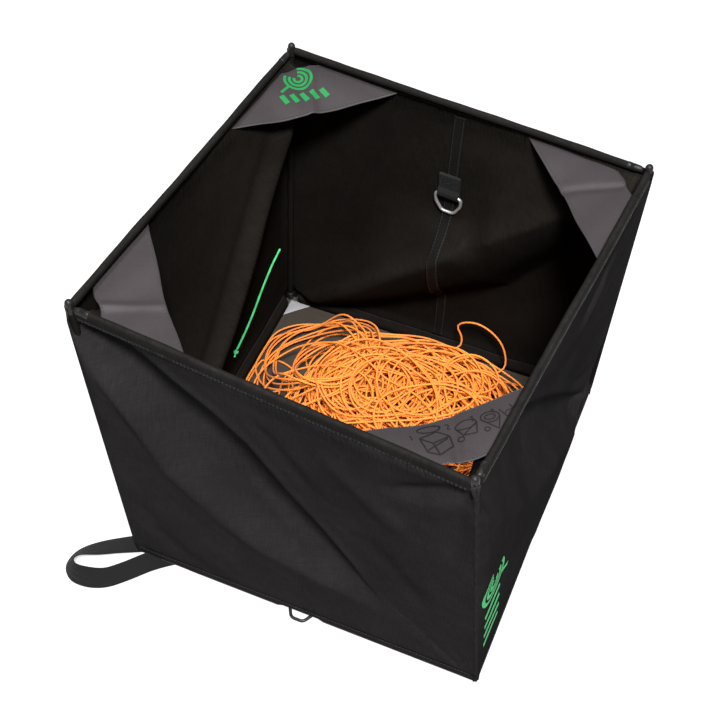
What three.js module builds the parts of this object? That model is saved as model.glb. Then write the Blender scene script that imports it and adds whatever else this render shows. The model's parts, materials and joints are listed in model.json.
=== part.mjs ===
// Folding cube for an arborist's throw line: an open-topped fabric box on a rod frame.
// Its rim turns a quarter turn as it drops, so every wall folds along one diagonal.
// Millimetres, +Z up. The origin is the middle of the floor's underside, and the front
// wall faces -Y. Each wall is built once, as the front wall, and turned into place.
import * as THREE from 'three';

// The cube
const SIDE = 400;
const HALF = SIDE / 2;
const RIM_HEIGHT = 395;
const RIM_TWIST = THREE.MathUtils.degToRad(5); // the rim rests turned this far, clockwise from above
const LEAN = HALF * (1 - Math.cos(RIM_TWIST) + Math.sin(RIM_TWIST)); // a wall's lean over its height
const WALL_NAMES = ['front', 'right', 'back', 'left'];
const CORNER_NAMES = ['front_right', 'back_right', 'back_left', 'front_left']; // at each wall's far end

// Fabric
const FABRIC = 1;
const SKIN = 0.2; // the fabric's outer face lies this far inside the cube's nominal planes
const CREASE_MARGIN = 8;
const CORNER_MARGIN = 1.5;
const RIM_MARGIN = 1;
const WALL_FOOT = 6.5;
const FLOOR_THICKNESS = 1.6;
const FLOOR_MARGIN = 2;

// Rods, the sleeves they lie in, and their rubber caps
const ROD_RADIUS = 2.5;
const SLEEVE_RADIUS = 3.5;
const BORE_RADIUS = 2.8;
const CAP_RADIUS = 4;
const UPRIGHT_INSET = 5.6;
const RIM_INSET = 5.2;
const BASE_HEIGHT = 9.5;
const BASE_END = 16;
const RIM_START = 20;
const RIM_END = 10.5;
const HEM_TAIL = 9.5;
const UPRIGHT_FOOT = 6;
const UPRIGHT_HEAD = 3;
const SLEEVE_FOOT = 30;
const SLEEVE_HEAD = 24;
const TOP_CAP_LENGTH = 13;
const FOOT_CAP_LENGTH = 12;
const CAP_OVERHANG = 3.3; // the cap's dome reaches this far past the rod's end

// Corner flaps, in the plane of the rim
const FLAP_LEG = 132;
const FLAP_CORNER = 24;
const FLAP_DROP = 16;
const FLAP_THICKNESS = 0.8;
const FLAP_EDGE = 2.6;

// The tape over the seam up the middle of the back wall, in two lengths
const TAPE_WIDTH = 12;
const TAPE_THICKNESS = 0.5;
const TAPE_DEPTH = 1.9; // from the wall's nominal plane to the middle of the tape
const TAPE_SLANT = 2; // the seam's sideways offset at the middle of either length
const LOWER_TAPE = [16, 188];
const UPPER_TAPE = [214, 376];

// D-rings on webbing tabs; a tab's reach is its outer radius round the ring's bar
const WEBBING = 25;
const INNER_TAB = { bore: 2.8, reach: 4.4, layers: 2.4, tail: 28 };
const OUTER_TAB = { bore: 2.7, reach: 3.7, layers: 2.2, tail: 24 };
const INNER_TAB_GAP = 2.9; // from the wall's nominal plane to the back of the tab
const RING_BAR = 3.6;
const RING_WIDTH = 33;
const RING_REACH = 26;
const RING_SHOULDER = 11;
const RING_TAPER = 8;
const INNER_RING_X = 6;
const INNER_RING_HEIGHT = 272;
const OUTER_RING_Y = -183;
const OUTER_RING_HEIGHT = 3.9;
const NOTCH_HALF = 21;
const NOTCH_DEPTH = 48;

// Carry handle, lying round the front left corner; it bends along x + y = HANDLE_BEND
const HANDLE_BEND = -406;
const HANDLE_WIDTH = 22;
const HANDLE_THICKNESS = 1.6;
const HANDLE_LIFT = 0.3;
const HANDLE_CHAMFER = 66;
const HANDLE_GAP = 0.4; // each webbing piece stops this far short of the bending line
const HANDLE_STEPS = 40;
const HANDLE_ROUTE = [
  [-186, -182], [-205, -187], [-228, -193], [-247, -206], [-253, -226],
  [-243, -241], [-222, -242], [-197, -229], [-173, -211], [-158, -195],
];

// Contents: a heap of line, and a short cord with a knot that leans on the left wall
const HEAP_CENTRE = [-5, 60];
const HEAP_RADII = [178, 125];
const HEAP_HEIGHT = 60;
const HEAP_LIFT = 2.2;
const HEAP_PROFILE = [
  [0, 0], [0.94, 0], [1, 0.1], [0.98, 0.28], [0.9, 0.5], [0.76, 0.7], [0.56, 0.86], [0.3, 0.97], [0, 1],
];
const CORD_RADIUS = 1.25;
const CORD_ROUTE = [
  [-190.6, 172, 119], [-191.2, 150, 112.5], [-191.4, 124, 101],
  [-191.6, 98, 86], [-192, 74, 75], [-192.2, 50, 68.5],
];
const KNOT_RADIUS = 2.8;
const KNOT_OFFSET = [0.3, -3.1, -0.6]; // from the cord's last point to the knot's centre

const MATERIALS = {
  shell: new THREE.MeshStandardMaterial({ color: 0x26252a, roughness: 0.62 }),
  hem: new THREE.MeshStandardMaterial({ color: 0x1c1c1f, roughness: 0.7 }),
  flap: new THREE.MeshStandardMaterial({ color: 0x5d5257, roughness: 0.75 }),
  floor: new THREE.MeshStandardMaterial({ color: 0x4e474a, roughness: 0.8 }),
  webbing: new THREE.MeshStandardMaterial({ color: 0x17171a, roughness: 0.8 }),
  rod: new THREE.MeshStandardMaterial({ color: 0x2b2b2b, roughness: 0.35 }),
  cap: new THREE.MeshStandardMaterial({ color: 0x101012, roughness: 0.55 }),
  ring: new THREE.MeshStandardMaterial({ color: 0x8d9196, roughness: 0.35, metalness: 0.8 }),
  darkRing: new THREE.MeshStandardMaterial({ color: 0x1b1b1d, roughness: 0.4, metalness: 0.4 }),
  line: new THREE.MeshStandardMaterial({ color: 0xf2922f, roughness: 0.6 }),
  cord: new THREE.MeshStandardMaterial({ color: 0x22b24a, roughness: 0.6 }),
};

const cube = new THREE.Group();

function mesh(name, geometry, material) {
  const piece = new THREE.Mesh(geometry, material);
  piece.name = name;
  return piece;
}

function polygon(points) {
  return new THREE.Shape(points.map(([x, y]) => new THREE.Vector2(x, y)));
}

function slab(points, thickness) {
  return new THREE.ExtrudeGeometry(polygon(points), { depth: thickness, bevelEnabled: false });
}

// Moves each side of a counter-clockwise convex polygon inwards by its own distance.
function insetPolygon(points, distances) {
  const lines = points.map((start, side) => {
    const end = points[(side + 1) % points.length];
    const along = end.clone().sub(start).normalize();
    const inward = new THREE.Vector2(-along.y, along.x);
    return { start: start.clone().addScaledVector(inward, distances[side]), along };
  });
  return lines.map((line, side) => {
    const before = lines[(side + lines.length - 1) % lines.length];
    const between = line.start.clone().sub(before.start);
    const reach = between.cross(line.along) / before.along.cross(line.along);
    return before.start.clone().addScaledVector(before.along, reach).toArray();
  });
}

// A fabric triangle on three points given counter-clockwise as seen from outside the cube.
function fabricTriangle(name, a, b, c, margins) {
  const along = b.clone().sub(a).normalize();
  const outward = along.clone().cross(c.clone().sub(a)).normalize();
  const across = outward.clone().cross(along);
  const third = c.clone().sub(a);
  const corners = [
    new THREE.Vector2(0, 0),
    new THREE.Vector2(a.distanceTo(b), 0),
    new THREE.Vector2(third.dot(along), third.dot(across)),
  ];
  const geometry = slab(insetPolygon(corners, margins), FABRIC);
  geometry.translate(0, 0, -SKIN - FABRIC);
  const piece = mesh(name, geometry, MATERIALS.shell);
  piece.setRotationFromMatrix(new THREE.Matrix4().makeBasis(along, across, outward));
  piece.position.copy(a);
  return piece;
}

// Stands a piece made along +Z on the line from one point towards another.
function standOn(piece, from, to) {
  const direction = to.clone().sub(from).normalize();
  piece.quaternion.setFromUnitVectors(new THREE.Vector3(0, 0, 1), direction);
  piece.position.copy(from);
  return piece;
}

function rodBetween(name, from, to) {
  const length = from.distanceTo(to);
  const geometry = new THREE.CylinderGeometry(ROD_RADIUS, ROD_RADIUS, length, 12);
  geometry.rotateX(Math.PI / 2);
  geometry.translate(0, 0, length / 2);
  return standOn(mesh(name, geometry, MATERIALS.rod), from, to);
}

function sleeveBetween(name, from, to) {
  const ring = new THREE.Shape();
  ring.absarc(0, 0, SLEEVE_RADIUS, 0, 2 * Math.PI);
  ring.holes.push(new THREE.Path().absarc(0, 0, BORE_RADIUS, 0, 2 * Math.PI));
  const options = { depth: from.distanceTo(to), bevelEnabled: false, curveSegments: 12 };
  return standOn(mesh(name, new THREE.ExtrudeGeometry(ring, options), MATERIALS.hem), from, to);
}

// A rubber cap: a dome over a blind bore, its open end at z = 0.
function capGeometry(length) {
  const profile = [
    [0, length - 3], [BORE_RADIUS, length - 3], [BORE_RADIUS, 0], [CAP_RADIUS, 0],
    [CAP_RADIUS, length - 3.2], [3.5, length - 1.6], [2.2, length - 0.4], [0, length],
  ];
  return new THREE.LatheGeometry(profile.map(([r, z]) => new THREE.Vector2(r, z)), 16)
    .rotateX(Math.PI / 2);
}

// The rim's hem: a round sleeve over the rod, narrowing to its stitched lower edge.
function hemShape() {
  const shape = new THREE.Shape();
  shape.moveTo(SLEEVE_RADIUS, 0);
  shape.absarc(0, 0, SLEEVE_RADIUS, 0, Math.PI);
  shape.lineTo(-1.5, -HEM_TAIL);
  shape.lineTo(1.5, -HEM_TAIL);
  shape.holes.push(new THREE.Path().absarc(0, 0, BORE_RADIUS, 0, 2 * Math.PI));
  return shape;
}

function rimHem(name) {
  const depth = SIDE - RIM_START - RIM_END;
  const options = { depth, bevelEnabled: false, curveSegments: 12 };
  const geometry = new THREE.ExtrudeGeometry(hemShape(), options);
  geometry.rotateX(Math.PI / 2).rotateZ(Math.PI / 2);
  const piece = mesh(name, geometry, MATERIALS.hem);
  piece.position.set(-HALF + RIM_START, -HALF + RIM_INSET, RIM_HEIGHT - RIM_INSET);
  return piece;
}

// The flap in the corner at the far end of a wall's rim.
function cornerFlap(name) {
  const outline = [
    [HALF - FLAP_LEG, -HALF + FLAP_EDGE], [HALF - FLAP_CORNER, -HALF + FLAP_EDGE],
    [HALF - FLAP_EDGE, -HALF + FLAP_CORNER], [HALF - FLAP_EDGE, -HALF + FLAP_LEG],
  ];
  const piece = mesh(name, slab(outline, FLAP_THICKNESS), MATERIALS.flap);
  piece.position.z = RIM_HEIGHT - FLAP_DROP;
  return piece;
}

// A webbing tab folded round a ring's bar. Its profile is drawn with the bar at the
// origin and the tail running up the wall side, and is extruded along the bar.
function ringTab(name, { bore, reach, layers, tail }) {
  const angle = Math.acos((layers - reach) / reach);
  const shape = new THREE.Shape();
  shape.moveTo(-reach, tail);
  shape.lineTo(-reach, 0);
  shape.absarc(0, 0, reach, Math.PI, 2 * Math.PI + angle);
  shape.lineTo(-reach + layers, tail);
  shape.holes.push(new THREE.Path().absarc(0, 0, bore, 0, 2 * Math.PI));
  const options = { depth: WEBBING, bevelEnabled: false, curveSegments: 14 };
  const geometry = new THREE.ExtrudeGeometry(shape, options);
  geometry.translate(0, 0, -WEBBING / 2);
  geometry.rotateX(Math.PI / 2).rotateZ(Math.PI / 2);
  return mesh(name, geometry, MATERIALS.webbing);
}

// An angular D-ring hanging from its bar, which lies along X through the origin.
function dRing(name, material) {
  const bar = RING_BAR / 2;
  const wide = RING_WIDTH / 2;
  const narrow = wide - RING_TAPER;
  const outer = [
    [-wide, bar], [-wide, -RING_SHOULDER], [-narrow, -RING_REACH],
    [narrow, -RING_REACH], [wide, -RING_SHOULDER], [wide, bar],
  ];
  const shoulder = RING_SHOULDER - 0.2 * RING_BAR;
  const innerNarrow = narrow - 0.55 * RING_BAR;
  const inner = [
    [-wide + RING_BAR, -bar], [-wide + RING_BAR, -shoulder], [-innerNarrow, -RING_REACH + RING_BAR],
    [innerNarrow, -RING_REACH + RING_BAR], [wide - RING_BAR, -shoulder], [wide - RING_BAR, -bar],
  ];
  const shape = polygon(outer);
  shape.holes.push(new THREE.Path(inner.map(([x, y]) => new THREE.Vector2(x, y))));
  const geometry = new THREE.ExtrudeGeometry(shape, { depth: RING_BAR, bevelEnabled: false });
  geometry.translate(0, 0, -RING_BAR / 2);
  geometry.rotateX(Math.PI / 2);
  return mesh(name, geometry, material);
}

function addLowerWall(wall, name) {
  const start = new THREE.Vector3(-HALF, -HALF, 0);
  const end = new THREE.Vector3(HALF, -HALF, 0);
  const tip = rimPoint(-HALF, -HALF, RIM_HEIGHT);
  wall.add(fabricTriangle(`wall_lower_${name}`, start, end, tip, [WALL_FOOT, CREASE_MARGIN, CORNER_MARGIN]));
}

function addUpperWall(wall, name) {
  const foot = new THREE.Vector3(HALF, -HALF, 0);
  const end = rimPoint(HALF, -HALF, RIM_HEIGHT);
  const start = rimPoint(-HALF, -HALF, RIM_HEIGHT);
  wall.add(fabricTriangle(`wall_upper_${name}`, foot, end, start, [CORNER_MARGIN, RIM_MARGIN, CREASE_MARGIN]));
}

// A point given in the rim's own frame, in the frame of the floor.
function rimPoint(x, y, z) {
  return new THREE.Vector3(x, y, z).applyAxisAngle(new THREE.Vector3(0, 0, 1), -RIM_TWIST);
}

function addRimRod(wall, name) {
  const height = RIM_HEIGHT - RIM_INSET;
  const from = rimPoint(-HALF + RIM_START, -HALF + RIM_INSET, height);
  const to = rimPoint(HALF - RIM_END, -HALF + RIM_INSET, height);
  wall.add(rodBetween(`rim_rod_${name}`, from, to));
}

function addUpright(wall, corner) {
  const foot = new THREE.Vector3(HALF - UPRIGHT_INSET, -HALF + UPRIGHT_INSET, 0);
  const head = rimPoint(HALF - UPRIGHT_INSET, -HALF + UPRIGHT_INSET, RIM_HEIGHT);
  const length = foot.distanceTo(head);
  const at = (distance) => foot.clone().lerp(head, distance / length);
  wall.add(rodBetween(`upright_rod_${corner}`, at(UPRIGHT_FOOT), at(length + UPRIGHT_HEAD)));
  wall.add(sleeveBetween(`upright_sleeve_${corner}`, at(SLEEVE_FOOT), at(length - SLEEVE_HEAD)));
  const topCap = mesh(`top_cap_${corner}`, capGeometry(TOP_CAP_LENGTH), MATERIALS.cap);
  wall.add(standOn(topCap, at(length + UPRIGHT_HEAD + CAP_OVERHANG - TOP_CAP_LENGTH), head));
  const footCap = mesh(`foot_cap_${corner}`, capGeometry(FOOT_CAP_LENGTH), MATERIALS.cap);
  wall.add(standOn(footCap, at(UPRIGHT_FOOT - CAP_OVERHANG + FOOT_CAP_LENGTH), foot));
}

function addBase(wall, name) {
  const from = new THREE.Vector3(-HALF + BASE_END, -HALF + UPRIGHT_INSET, BASE_HEIGHT);
  const to = new THREE.Vector3(HALF - BASE_END, -HALF + UPRIGHT_INSET, BASE_HEIGHT);
  wall.add(rodBetween(`base_rod_${name}`, from, to));
  wall.add(sleeveBetween(`base_hem_${name}`, from, to));
}

// How far the back wall leans in at a height, counted from its rim's or its floor's edge.
function leanOver(distance) {
  return (LEAN * distance) / RIM_HEIGHT;
}

// A length of tape sewn along the seam on the back wall's inside.
function seamTape(name, [bottom, top], x, wallLean, tilt) {
  const geometry = new THREE.BoxGeometry(TAPE_WIDTH, TAPE_THICKNESS, top - bottom);
  const tape = mesh(name, geometry, MATERIALS.hem);
  tape.rotation.x = tilt;
  tape.position.set(x, -HALF + wallLean + TAPE_DEPTH, (bottom + top) / 2);
  return tape;
}

function addBackFittings(wall, rim) {
  const slope = Math.atan(LEAN / RIM_HEIGHT);
  const lowerMiddle = (LOWER_TAPE[0] + LOWER_TAPE[1]) / 2;
  const upperMiddle = (UPPER_TAPE[0] + UPPER_TAPE[1]) / 2;
  wall.add(seamTape('seam_strip_lower', LOWER_TAPE, -TAPE_SLANT, leanOver(lowerMiddle), -slope));
  const upperLean = leanOver(RIM_HEIGHT - upperMiddle);
  rim.add(seamTape('seam_strip_upper', UPPER_TAPE, TAPE_SLANT, upperLean, slope));
  const wallFace = -HALF + leanOver(RIM_HEIGHT - INNER_RING_HEIGHT) + INNER_TAB_GAP;
  const tab = ringTab('inner_ring_tab', INNER_TAB);
  tab.rotation.x = slope;
  tab.position.set(INNER_RING_X, wallFace + INNER_TAB.reach, INNER_RING_HEIGHT);
  rim.add(tab);
  const ring = dRing('inner_ring', MATERIALS.ring);
  ring.position.copy(tab.position);
  rim.add(ring);
}

function addWall(index) {
  const name = WALL_NAMES[index];
  const corner = CORNER_NAMES[index];
  const wall = new THREE.Group();
  const rim = new THREE.Group();
  rim.rotation.z = -RIM_TWIST;
  wall.rotation.z = (index * Math.PI) / 2;
  wall.add(rim);
  cube.add(wall);
  addLowerWall(wall, name);
  addUpperWall(wall, name);
  addRimRod(wall, name);
  addUpright(wall, corner);
  addBase(wall, name);
  rim.add(rimHem(`rim_hem_${name}`));
  rim.add(cornerFlap(`corner_flap_${corner}`));
  if (name === 'back') {
    addBackFittings(wall, rim);
  }
}

// The floor: a panel with a notch for the outer D-ring and one corner cut for the handle.
function addFloor() {
  const edge = HALF - FLOOR_MARGIN;
  const outline = [
    [-edge + HANDLE_CHAMFER, -edge], [-NOTCH_HALF, -edge], [-NOTCH_HALF, -edge + NOTCH_DEPTH],
    [NOTCH_HALF, -edge + NOTCH_DEPTH], [NOTCH_HALF, -edge], [edge, -edge], [edge, edge],
    [-edge, edge], [-edge, -edge + HANDLE_CHAMFER],
  ];
  cube.add(mesh('floor_panel', slab(outline, FLOOR_THICKNESS), MATERIALS.floor));
}

function addOuterRing() {
  const tab = ringTab('outer_ring_tab', OUTER_TAB);
  const backwards = new THREE.Vector3(-1, 0, 0);
  const above = new THREE.Vector3(0, 0, 1);
  const inwards = new THREE.Vector3(0, 1, 0);
  tab.setRotationFromMatrix(new THREE.Matrix4().makeBasis(backwards, above, inwards));
  tab.position.set(0, OUTER_RING_Y, OUTER_RING_HEIGHT);
  cube.add(tab);
  const ring = dRing('outer_ring', MATERIALS.darkRing);
  ring.rotation.x = -Math.PI / 2;
  ring.position.copy(tab.position);
  cube.add(ring);
}

// Keeps the part of a closed outline on one side of the handle's bending line.
function clipAtBend(points, outside) {
  const limit = HANDLE_BEND + (outside ? -HANDLE_GAP : HANDLE_GAP);
  const depth = ([x, y]) => (outside ? limit - x - y : x + y - limit);
  const kept = [];
  points.forEach((point, index) => {
    const next = points[(index + 1) % points.length];
    const here = depth(point);
    const there = depth(next);
    if (here >= 0) {
      kept.push(point);
    }
    if (here * there < 0) {
      const share = here / (here - there);
      kept.push([point[0] + (next[0] - point[0]) * share, point[1] + (next[1] - point[1]) * share]);
    }
  });
  return kept;
}

function handleOutline(from, to) {
  const route = HANDLE_ROUTE.map(([x, y]) => new THREE.Vector3(x, y, 0));
  const curve = new THREE.CatmullRomCurve3(route);
  const left = [];
  const right = [];
  const steps = Math.round(HANDLE_STEPS * (to - from));
  for (let step = 0; step <= steps; step += 1) {
    const t = from + ((to - from) * step) / steps;
    const point = curve.getPoint(t);
    const tangent = curve.getTangent(t);
    const side = [(-tangent.y * HANDLE_WIDTH) / 2, (tangent.x * HANDLE_WIDTH) / 2];
    left.push([point.x + side[0], point.y + side[1]]);
    right.unshift([point.x - side[0], point.y - side[1]]);
  }
  return left.concat(right);
}

function addHandle() {
  const pieces = [
    ['handle_loop', handleOutline(0, 1), true],
    ['handle_end_left', handleOutline(0, 0.5), false],
    ['handle_end_front', handleOutline(0.5, 1), false],
  ];
  pieces.forEach(([name, outline, outside]) => {
    const geometry = slab(clipAtBend(outline, outside), HANDLE_THICKNESS);
    geometry.translate(0, 0, HANDLE_LIFT);
    cube.add(mesh(name, geometry, MATERIALS.webbing));
  });
}

function addHeap() {
  const profile = HEAP_PROFILE.map(([radius, z]) => new THREE.Vector2(radius, z * HEAP_HEIGHT));
  const geometry = new THREE.LatheGeometry(profile, 36);
  geometry.rotateX(Math.PI / 2);
  geometry.scale(HEAP_RADII[0], HEAP_RADII[1], 1);
  geometry.translate(HEAP_CENTRE[0], HEAP_CENTRE[1], HEAP_LIFT);
  cube.add(mesh('throw_line', geometry, MATERIALS.line));
}

function addCord() {
  const section = new THREE.Shape();
  section.absarc(0, 0, CORD_RADIUS, 0, 2 * Math.PI);
  const path = new THREE.CatmullRomCurve3(CORD_ROUTE.map(([x, y, z]) => new THREE.Vector3(x, y, z)));
  const options = { steps: 30, extrudePath: path, curveSegments: 4, bevelEnabled: false };
  cube.add(mesh('green_cord', new THREE.ExtrudeGeometry(section, options), MATERIALS.cord));
  const knot = mesh('green_cord_knot', new THREE.SphereGeometry(KNOT_RADIUS, 14, 10), MATERIALS.cord);
  knot.position.fromArray(CORD_ROUTE[CORD_ROUTE.length - 1]);
  knot.position.add(new THREE.Vector3().fromArray(KNOT_OFFSET));
  cube.add(knot);
}

addFloor();
WALL_NAMES.forEach((name, index) => addWall(index));
addOuterRing();
addHandle();
addHeap();
addCord();

export default cube;
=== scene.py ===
import json
import math

import bpy
import numpy as np
from mathutils import Matrix, Vector


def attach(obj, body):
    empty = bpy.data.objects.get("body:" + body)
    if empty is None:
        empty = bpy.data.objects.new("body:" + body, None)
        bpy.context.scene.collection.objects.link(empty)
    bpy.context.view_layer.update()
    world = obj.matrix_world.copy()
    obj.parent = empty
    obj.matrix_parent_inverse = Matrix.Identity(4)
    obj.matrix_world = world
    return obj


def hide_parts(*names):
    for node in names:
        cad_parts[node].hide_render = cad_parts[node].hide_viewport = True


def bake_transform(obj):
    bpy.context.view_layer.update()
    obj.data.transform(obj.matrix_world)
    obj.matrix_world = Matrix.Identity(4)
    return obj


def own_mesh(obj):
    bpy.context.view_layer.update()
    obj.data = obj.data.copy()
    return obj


# A folding fabric cube that holds an arborist's throw line. Each wall is one sheet of nylon on a
# rod frame, creased along its diagonal; the rim turns as it drops, and the walls fold on those
# creases. Pieces are in metres. The larger sizes below (from 1 up), the shapes of folds and
# marks, and the route of the line are in millimetres and become metres by way of MM.
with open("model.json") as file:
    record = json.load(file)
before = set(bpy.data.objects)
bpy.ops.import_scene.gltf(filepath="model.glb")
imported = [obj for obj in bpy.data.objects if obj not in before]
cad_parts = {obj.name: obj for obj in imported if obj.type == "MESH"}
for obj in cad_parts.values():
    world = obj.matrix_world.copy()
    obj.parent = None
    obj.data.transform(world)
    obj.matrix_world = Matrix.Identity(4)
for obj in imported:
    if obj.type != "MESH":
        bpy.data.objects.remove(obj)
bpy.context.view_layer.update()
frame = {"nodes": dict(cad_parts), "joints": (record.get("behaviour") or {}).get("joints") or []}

MM = 0.001
WALLS = ["front", "right", "back", "left"]
CORNERS = ["front_right", "back_right", "back_left", "front_left"]  # at each wall's far end
WALL_WIDTH = 400.0
WALL_HEIGHT = 396.0
DIAGONAL = math.hypot(WALL_WIDTH, WALL_HEIGHT)
CLOTH = 0.0007
FLAP_CLOTH = 0.0006
FLOOR_CLOTH = 0.0008
TAPE_CLOTH = 0.0004
FLOOR_HALF = 198.9
SHEET_FOOT = 0.037  # the wall cloth runs from the seam over the floor rod ...
SHEET_TOP = 0.989  # ... to inside the rim's hem, as shares of the wall's height
FREE_FOOT, FREE_HEAD = 14.0, 387.0  # heights between which a wall's cloth is free to fold
HEM_TUCK = 2.1  # how far the cloth turns inward to pass into the rim's hem
CORNER_ROUND = 3.6
ROD_INSET = 5.6
RIM_INSET = 5.2
SLEEVE_RADIUS = 0.0037
TOP_CAP_MOUTH = 0.0112  # the caps' open ends, below the uprights' heads ...
FOOT_CAP_MOUTH = 0.0135  # ... and above their feet
FERRULE_MOUTH = 0.0265  # the open end of a rim rod's cap, from its corner
SEAM_INSET = 186.0  # the floor's stitching, from the middle
WEBBING_THICKNESS = 0.0014
TAB_WIDTH = 0.0245
HANDLE_WIDTH = 0.022
RING_WIRE_RADIUS = 0.00178
RING_CORNER_RADIUS = 0.0042

FLAP_LEG = 132.0
FLAP_LIFT = 381.0
FLAP_DROOP = {"front_right": 17.0, "back_right": 5.0, "back_left": 9.0, "front_left": 4.0}
FLAP_CUT = {"front_right": 50.0, "back_right": 42.0, "back_left": 40.0, "front_left": 44.0}

LINE_DIAMETER = 0.0022
HEAP_MIDDLE = np.array([8.0, 79.0])
HEAP_RADII = np.array([166.0, 114.0])
HEAP_TOP = 58.0
HEAP_FLOOR = 2.6
HEAP_SIDE = 186.0  # the line stays within this of the middle, left and right ...
HEAP_NEAR, HEAP_FAR = -60.0, 187.0  # ... and between these, front to back
LAP_STEP = 6.0  # spacing of the points that the laps are drawn with
LAP_CELLS = 160  # the map of how covered the floor is has this many cells each way
LINE_STEP = 5.5  # spacing of the points in the finished line
LOWER_LAPS, WIDE_LAPS, UPPER_LAPS = 46500, 3300, 8300  # lengths of line
CORD_DIAMETER = 0.0025
CORD_ROUTE = [
    (-0.1906, 0.172, 0.119), (-0.1912, 0.150, 0.1125), (-0.1914, 0.124, 0.101),
    (-0.1916, 0.098, 0.086), (-0.1920, 0.074, 0.075), (-0.1922, 0.050, 0.0685),
]
HANDLE_ROUTE = [
    (-186, -183), (-207, -195), (-233, -212), (-251, -228), (-255, -243), (-246, -252),
    (-231, -251), (-213, -243), (-197, -228), (-177, -206), (-158, -190), (-146, -184),
]
JOINTS = {joint["name"]: joint for joint in frame["joints"]}


# ---------------------------------------------------------------- camera and light

def add_camera():
    place = Vector((0.3119, -0.7310, 1.2459))
    ahead = Vector((-0.2466, 0.5548, -0.7946)).normalized()
    right = ahead.cross(Vector((-0.3042, 0.7342, 0.6070))).normalized()
    up = right.cross(ahead)
    camera = bpy.data.objects.new("camera", bpy.data.cameras.new("camera"))
    camera.matrix_world = Matrix((
        (right.x, up.x, -ahead.x, place.x),
        (right.y, up.y, -ahead.y, place.y),
        (right.z, up.z, -ahead.z, place.z),
        (0, 0, 0, 1),
    ))
    camera.data.sensor_width = 36.0
    camera.data.lens = 63.97
    bpy.context.scene.collection.objects.link(camera)
    bpy.context.scene.camera = camera


def add_area_light(name, place, aim, size, power):
    light = bpy.data.lights.new(name, "AREA")
    light.shape = "DISK"
    light.size = size
    light.energy = power
    lamp = bpy.data.objects.new(name, light)
    lamp.location = place
    direction = Vector(aim) - Vector(place)
    lamp.rotation_euler = direction.to_track_quat("-Z", "Y").to_euler()
    bpy.context.scene.collection.objects.link(lamp)


def add_studio():
    world = bpy.data.worlds.new("studio")
    world.use_nodes = True
    background = world.node_tree.nodes["Background"]
    background.inputs["Color"].default_value = (1.0, 0.98, 0.95, 1)
    background.inputs["Strength"].default_value = 0.3
    bpy.context.scene.world = world
    bpy.context.scene.view_settings.view_transform = "Standard"
    add_area_light("top", (-0.5, -0.2, 3.4), (0, 0.02, 0.1), 0.9, 75)
    add_area_light("key", (0.75, -1.25, 3.05), (0, 0, 0.2), 0.5, 225)
    add_stage(reach=6.0, below=0.0002)


def add_stage(reach, below):
    """The ground: a pale square that glows a little, so that it reads as nearly white."""
    ground = bpy.data.meshes.new("studio_floor")
    corners = [(-reach, -reach, 0), (reach, -reach, 0), (reach, reach, 0), (-reach, reach, 0)]
    ground.from_pydata(corners, [], [(0, 1, 2, 3)])
    plane = bpy.data.objects.new("studio_floor", ground)
    plane.location.z = -below
    bpy.context.scene.collection.objects.link(plane)
    paint = Paint("studio_floor", (0.26, 0.26, 0.26), Roughness=0.95, Specular_IOR_Level=0.0)
    paint.surface.inputs["Emission Color"].default_value = (1, 1, 1, 1)
    paint.surface.inputs["Emission Strength"].default_value = 0.62
    ground.materials.append(paint.material)


# ---------------------------------------------------------------- materials

class Paint:
    """A node material being put together round one Principled shader."""

    def __init__(self, name, colour, **settings):
        self.material = bpy.data.materials.new(name)
        self.material.use_nodes = True
        self.nodes = self.material.node_tree.nodes
        self.links = self.material.node_tree.links
        self.surface = self.nodes["Principled BSDF"]
        self.surface.inputs["Base Color"].default_value = (*colour, 1)
        for socket, value in settings.items():
            self.surface.inputs[socket.replace("_", " ")].default_value = value

    def node(self, kind, sockets=None, **properties):
        made = self.nodes.new("ShaderNode" + kind)
        for name, value in properties.items():
            setattr(made, name, value)
        for name, value in (sockets or {}).items():
            socket = made.inputs[name]
            if isinstance(value, bpy.types.NodeSocket):
                self.links.new(value, socket)
            else:
                socket.default_value = value
        return made

    def math(self, operation, first, second=0.0):
        return self.node("Math", {0: first, 1: second}, operation=operation).outputs[0]

    def scaled(self, coordinates, scale):
        return self.node("Mapping", {"Vector": coordinates, "Scale": scale}).outputs[0]

    def noise(self, vector, scale, detail=3.0, roughness=0.5):
        sockets = {"Vector": vector, "Scale": scale, "Detail": detail, "Roughness": roughness}
        return self.node("TexNoise", sockets).outputs["Fac"]

    def spread(self, value, low, high, to_low=0.0, to_high=1.0):
        sockets = {"Value": value, 1: low, 2: high, 3: to_low, 4: to_high}
        return self.node("MapRange", sockets).outputs[0]

    def mixed(self, share, first, second):
        node = self.nodes.new("ShaderNodeMix")
        node.data_type = "RGBA"
        for index, value in ((0, share), (6, first), (7, second)):
            socket = node.inputs[index]
            if isinstance(value, bpy.types.NodeSocket):
                self.links.new(value, socket)
            else:
                socket.default_value = value if index == 0 else (*value, 1)
        return node.outputs[2]

    def bump(self, height, distance, strength=1.0, under=None):
        sockets = {"Height": height, "Distance": distance, "Strength": strength}
        if under is not None:
            sockets["Normal"] = under
        return self.node("Bump", sockets).outputs[0]

    def finish(self, colour=None, roughness=None, normal=None):
        for name, value in (("Base Color", colour), ("Roughness", roughness), ("Normal", normal)):
            if value is not None:
                self.links.new(value, self.surface.inputs[name])
        return self.material


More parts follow.
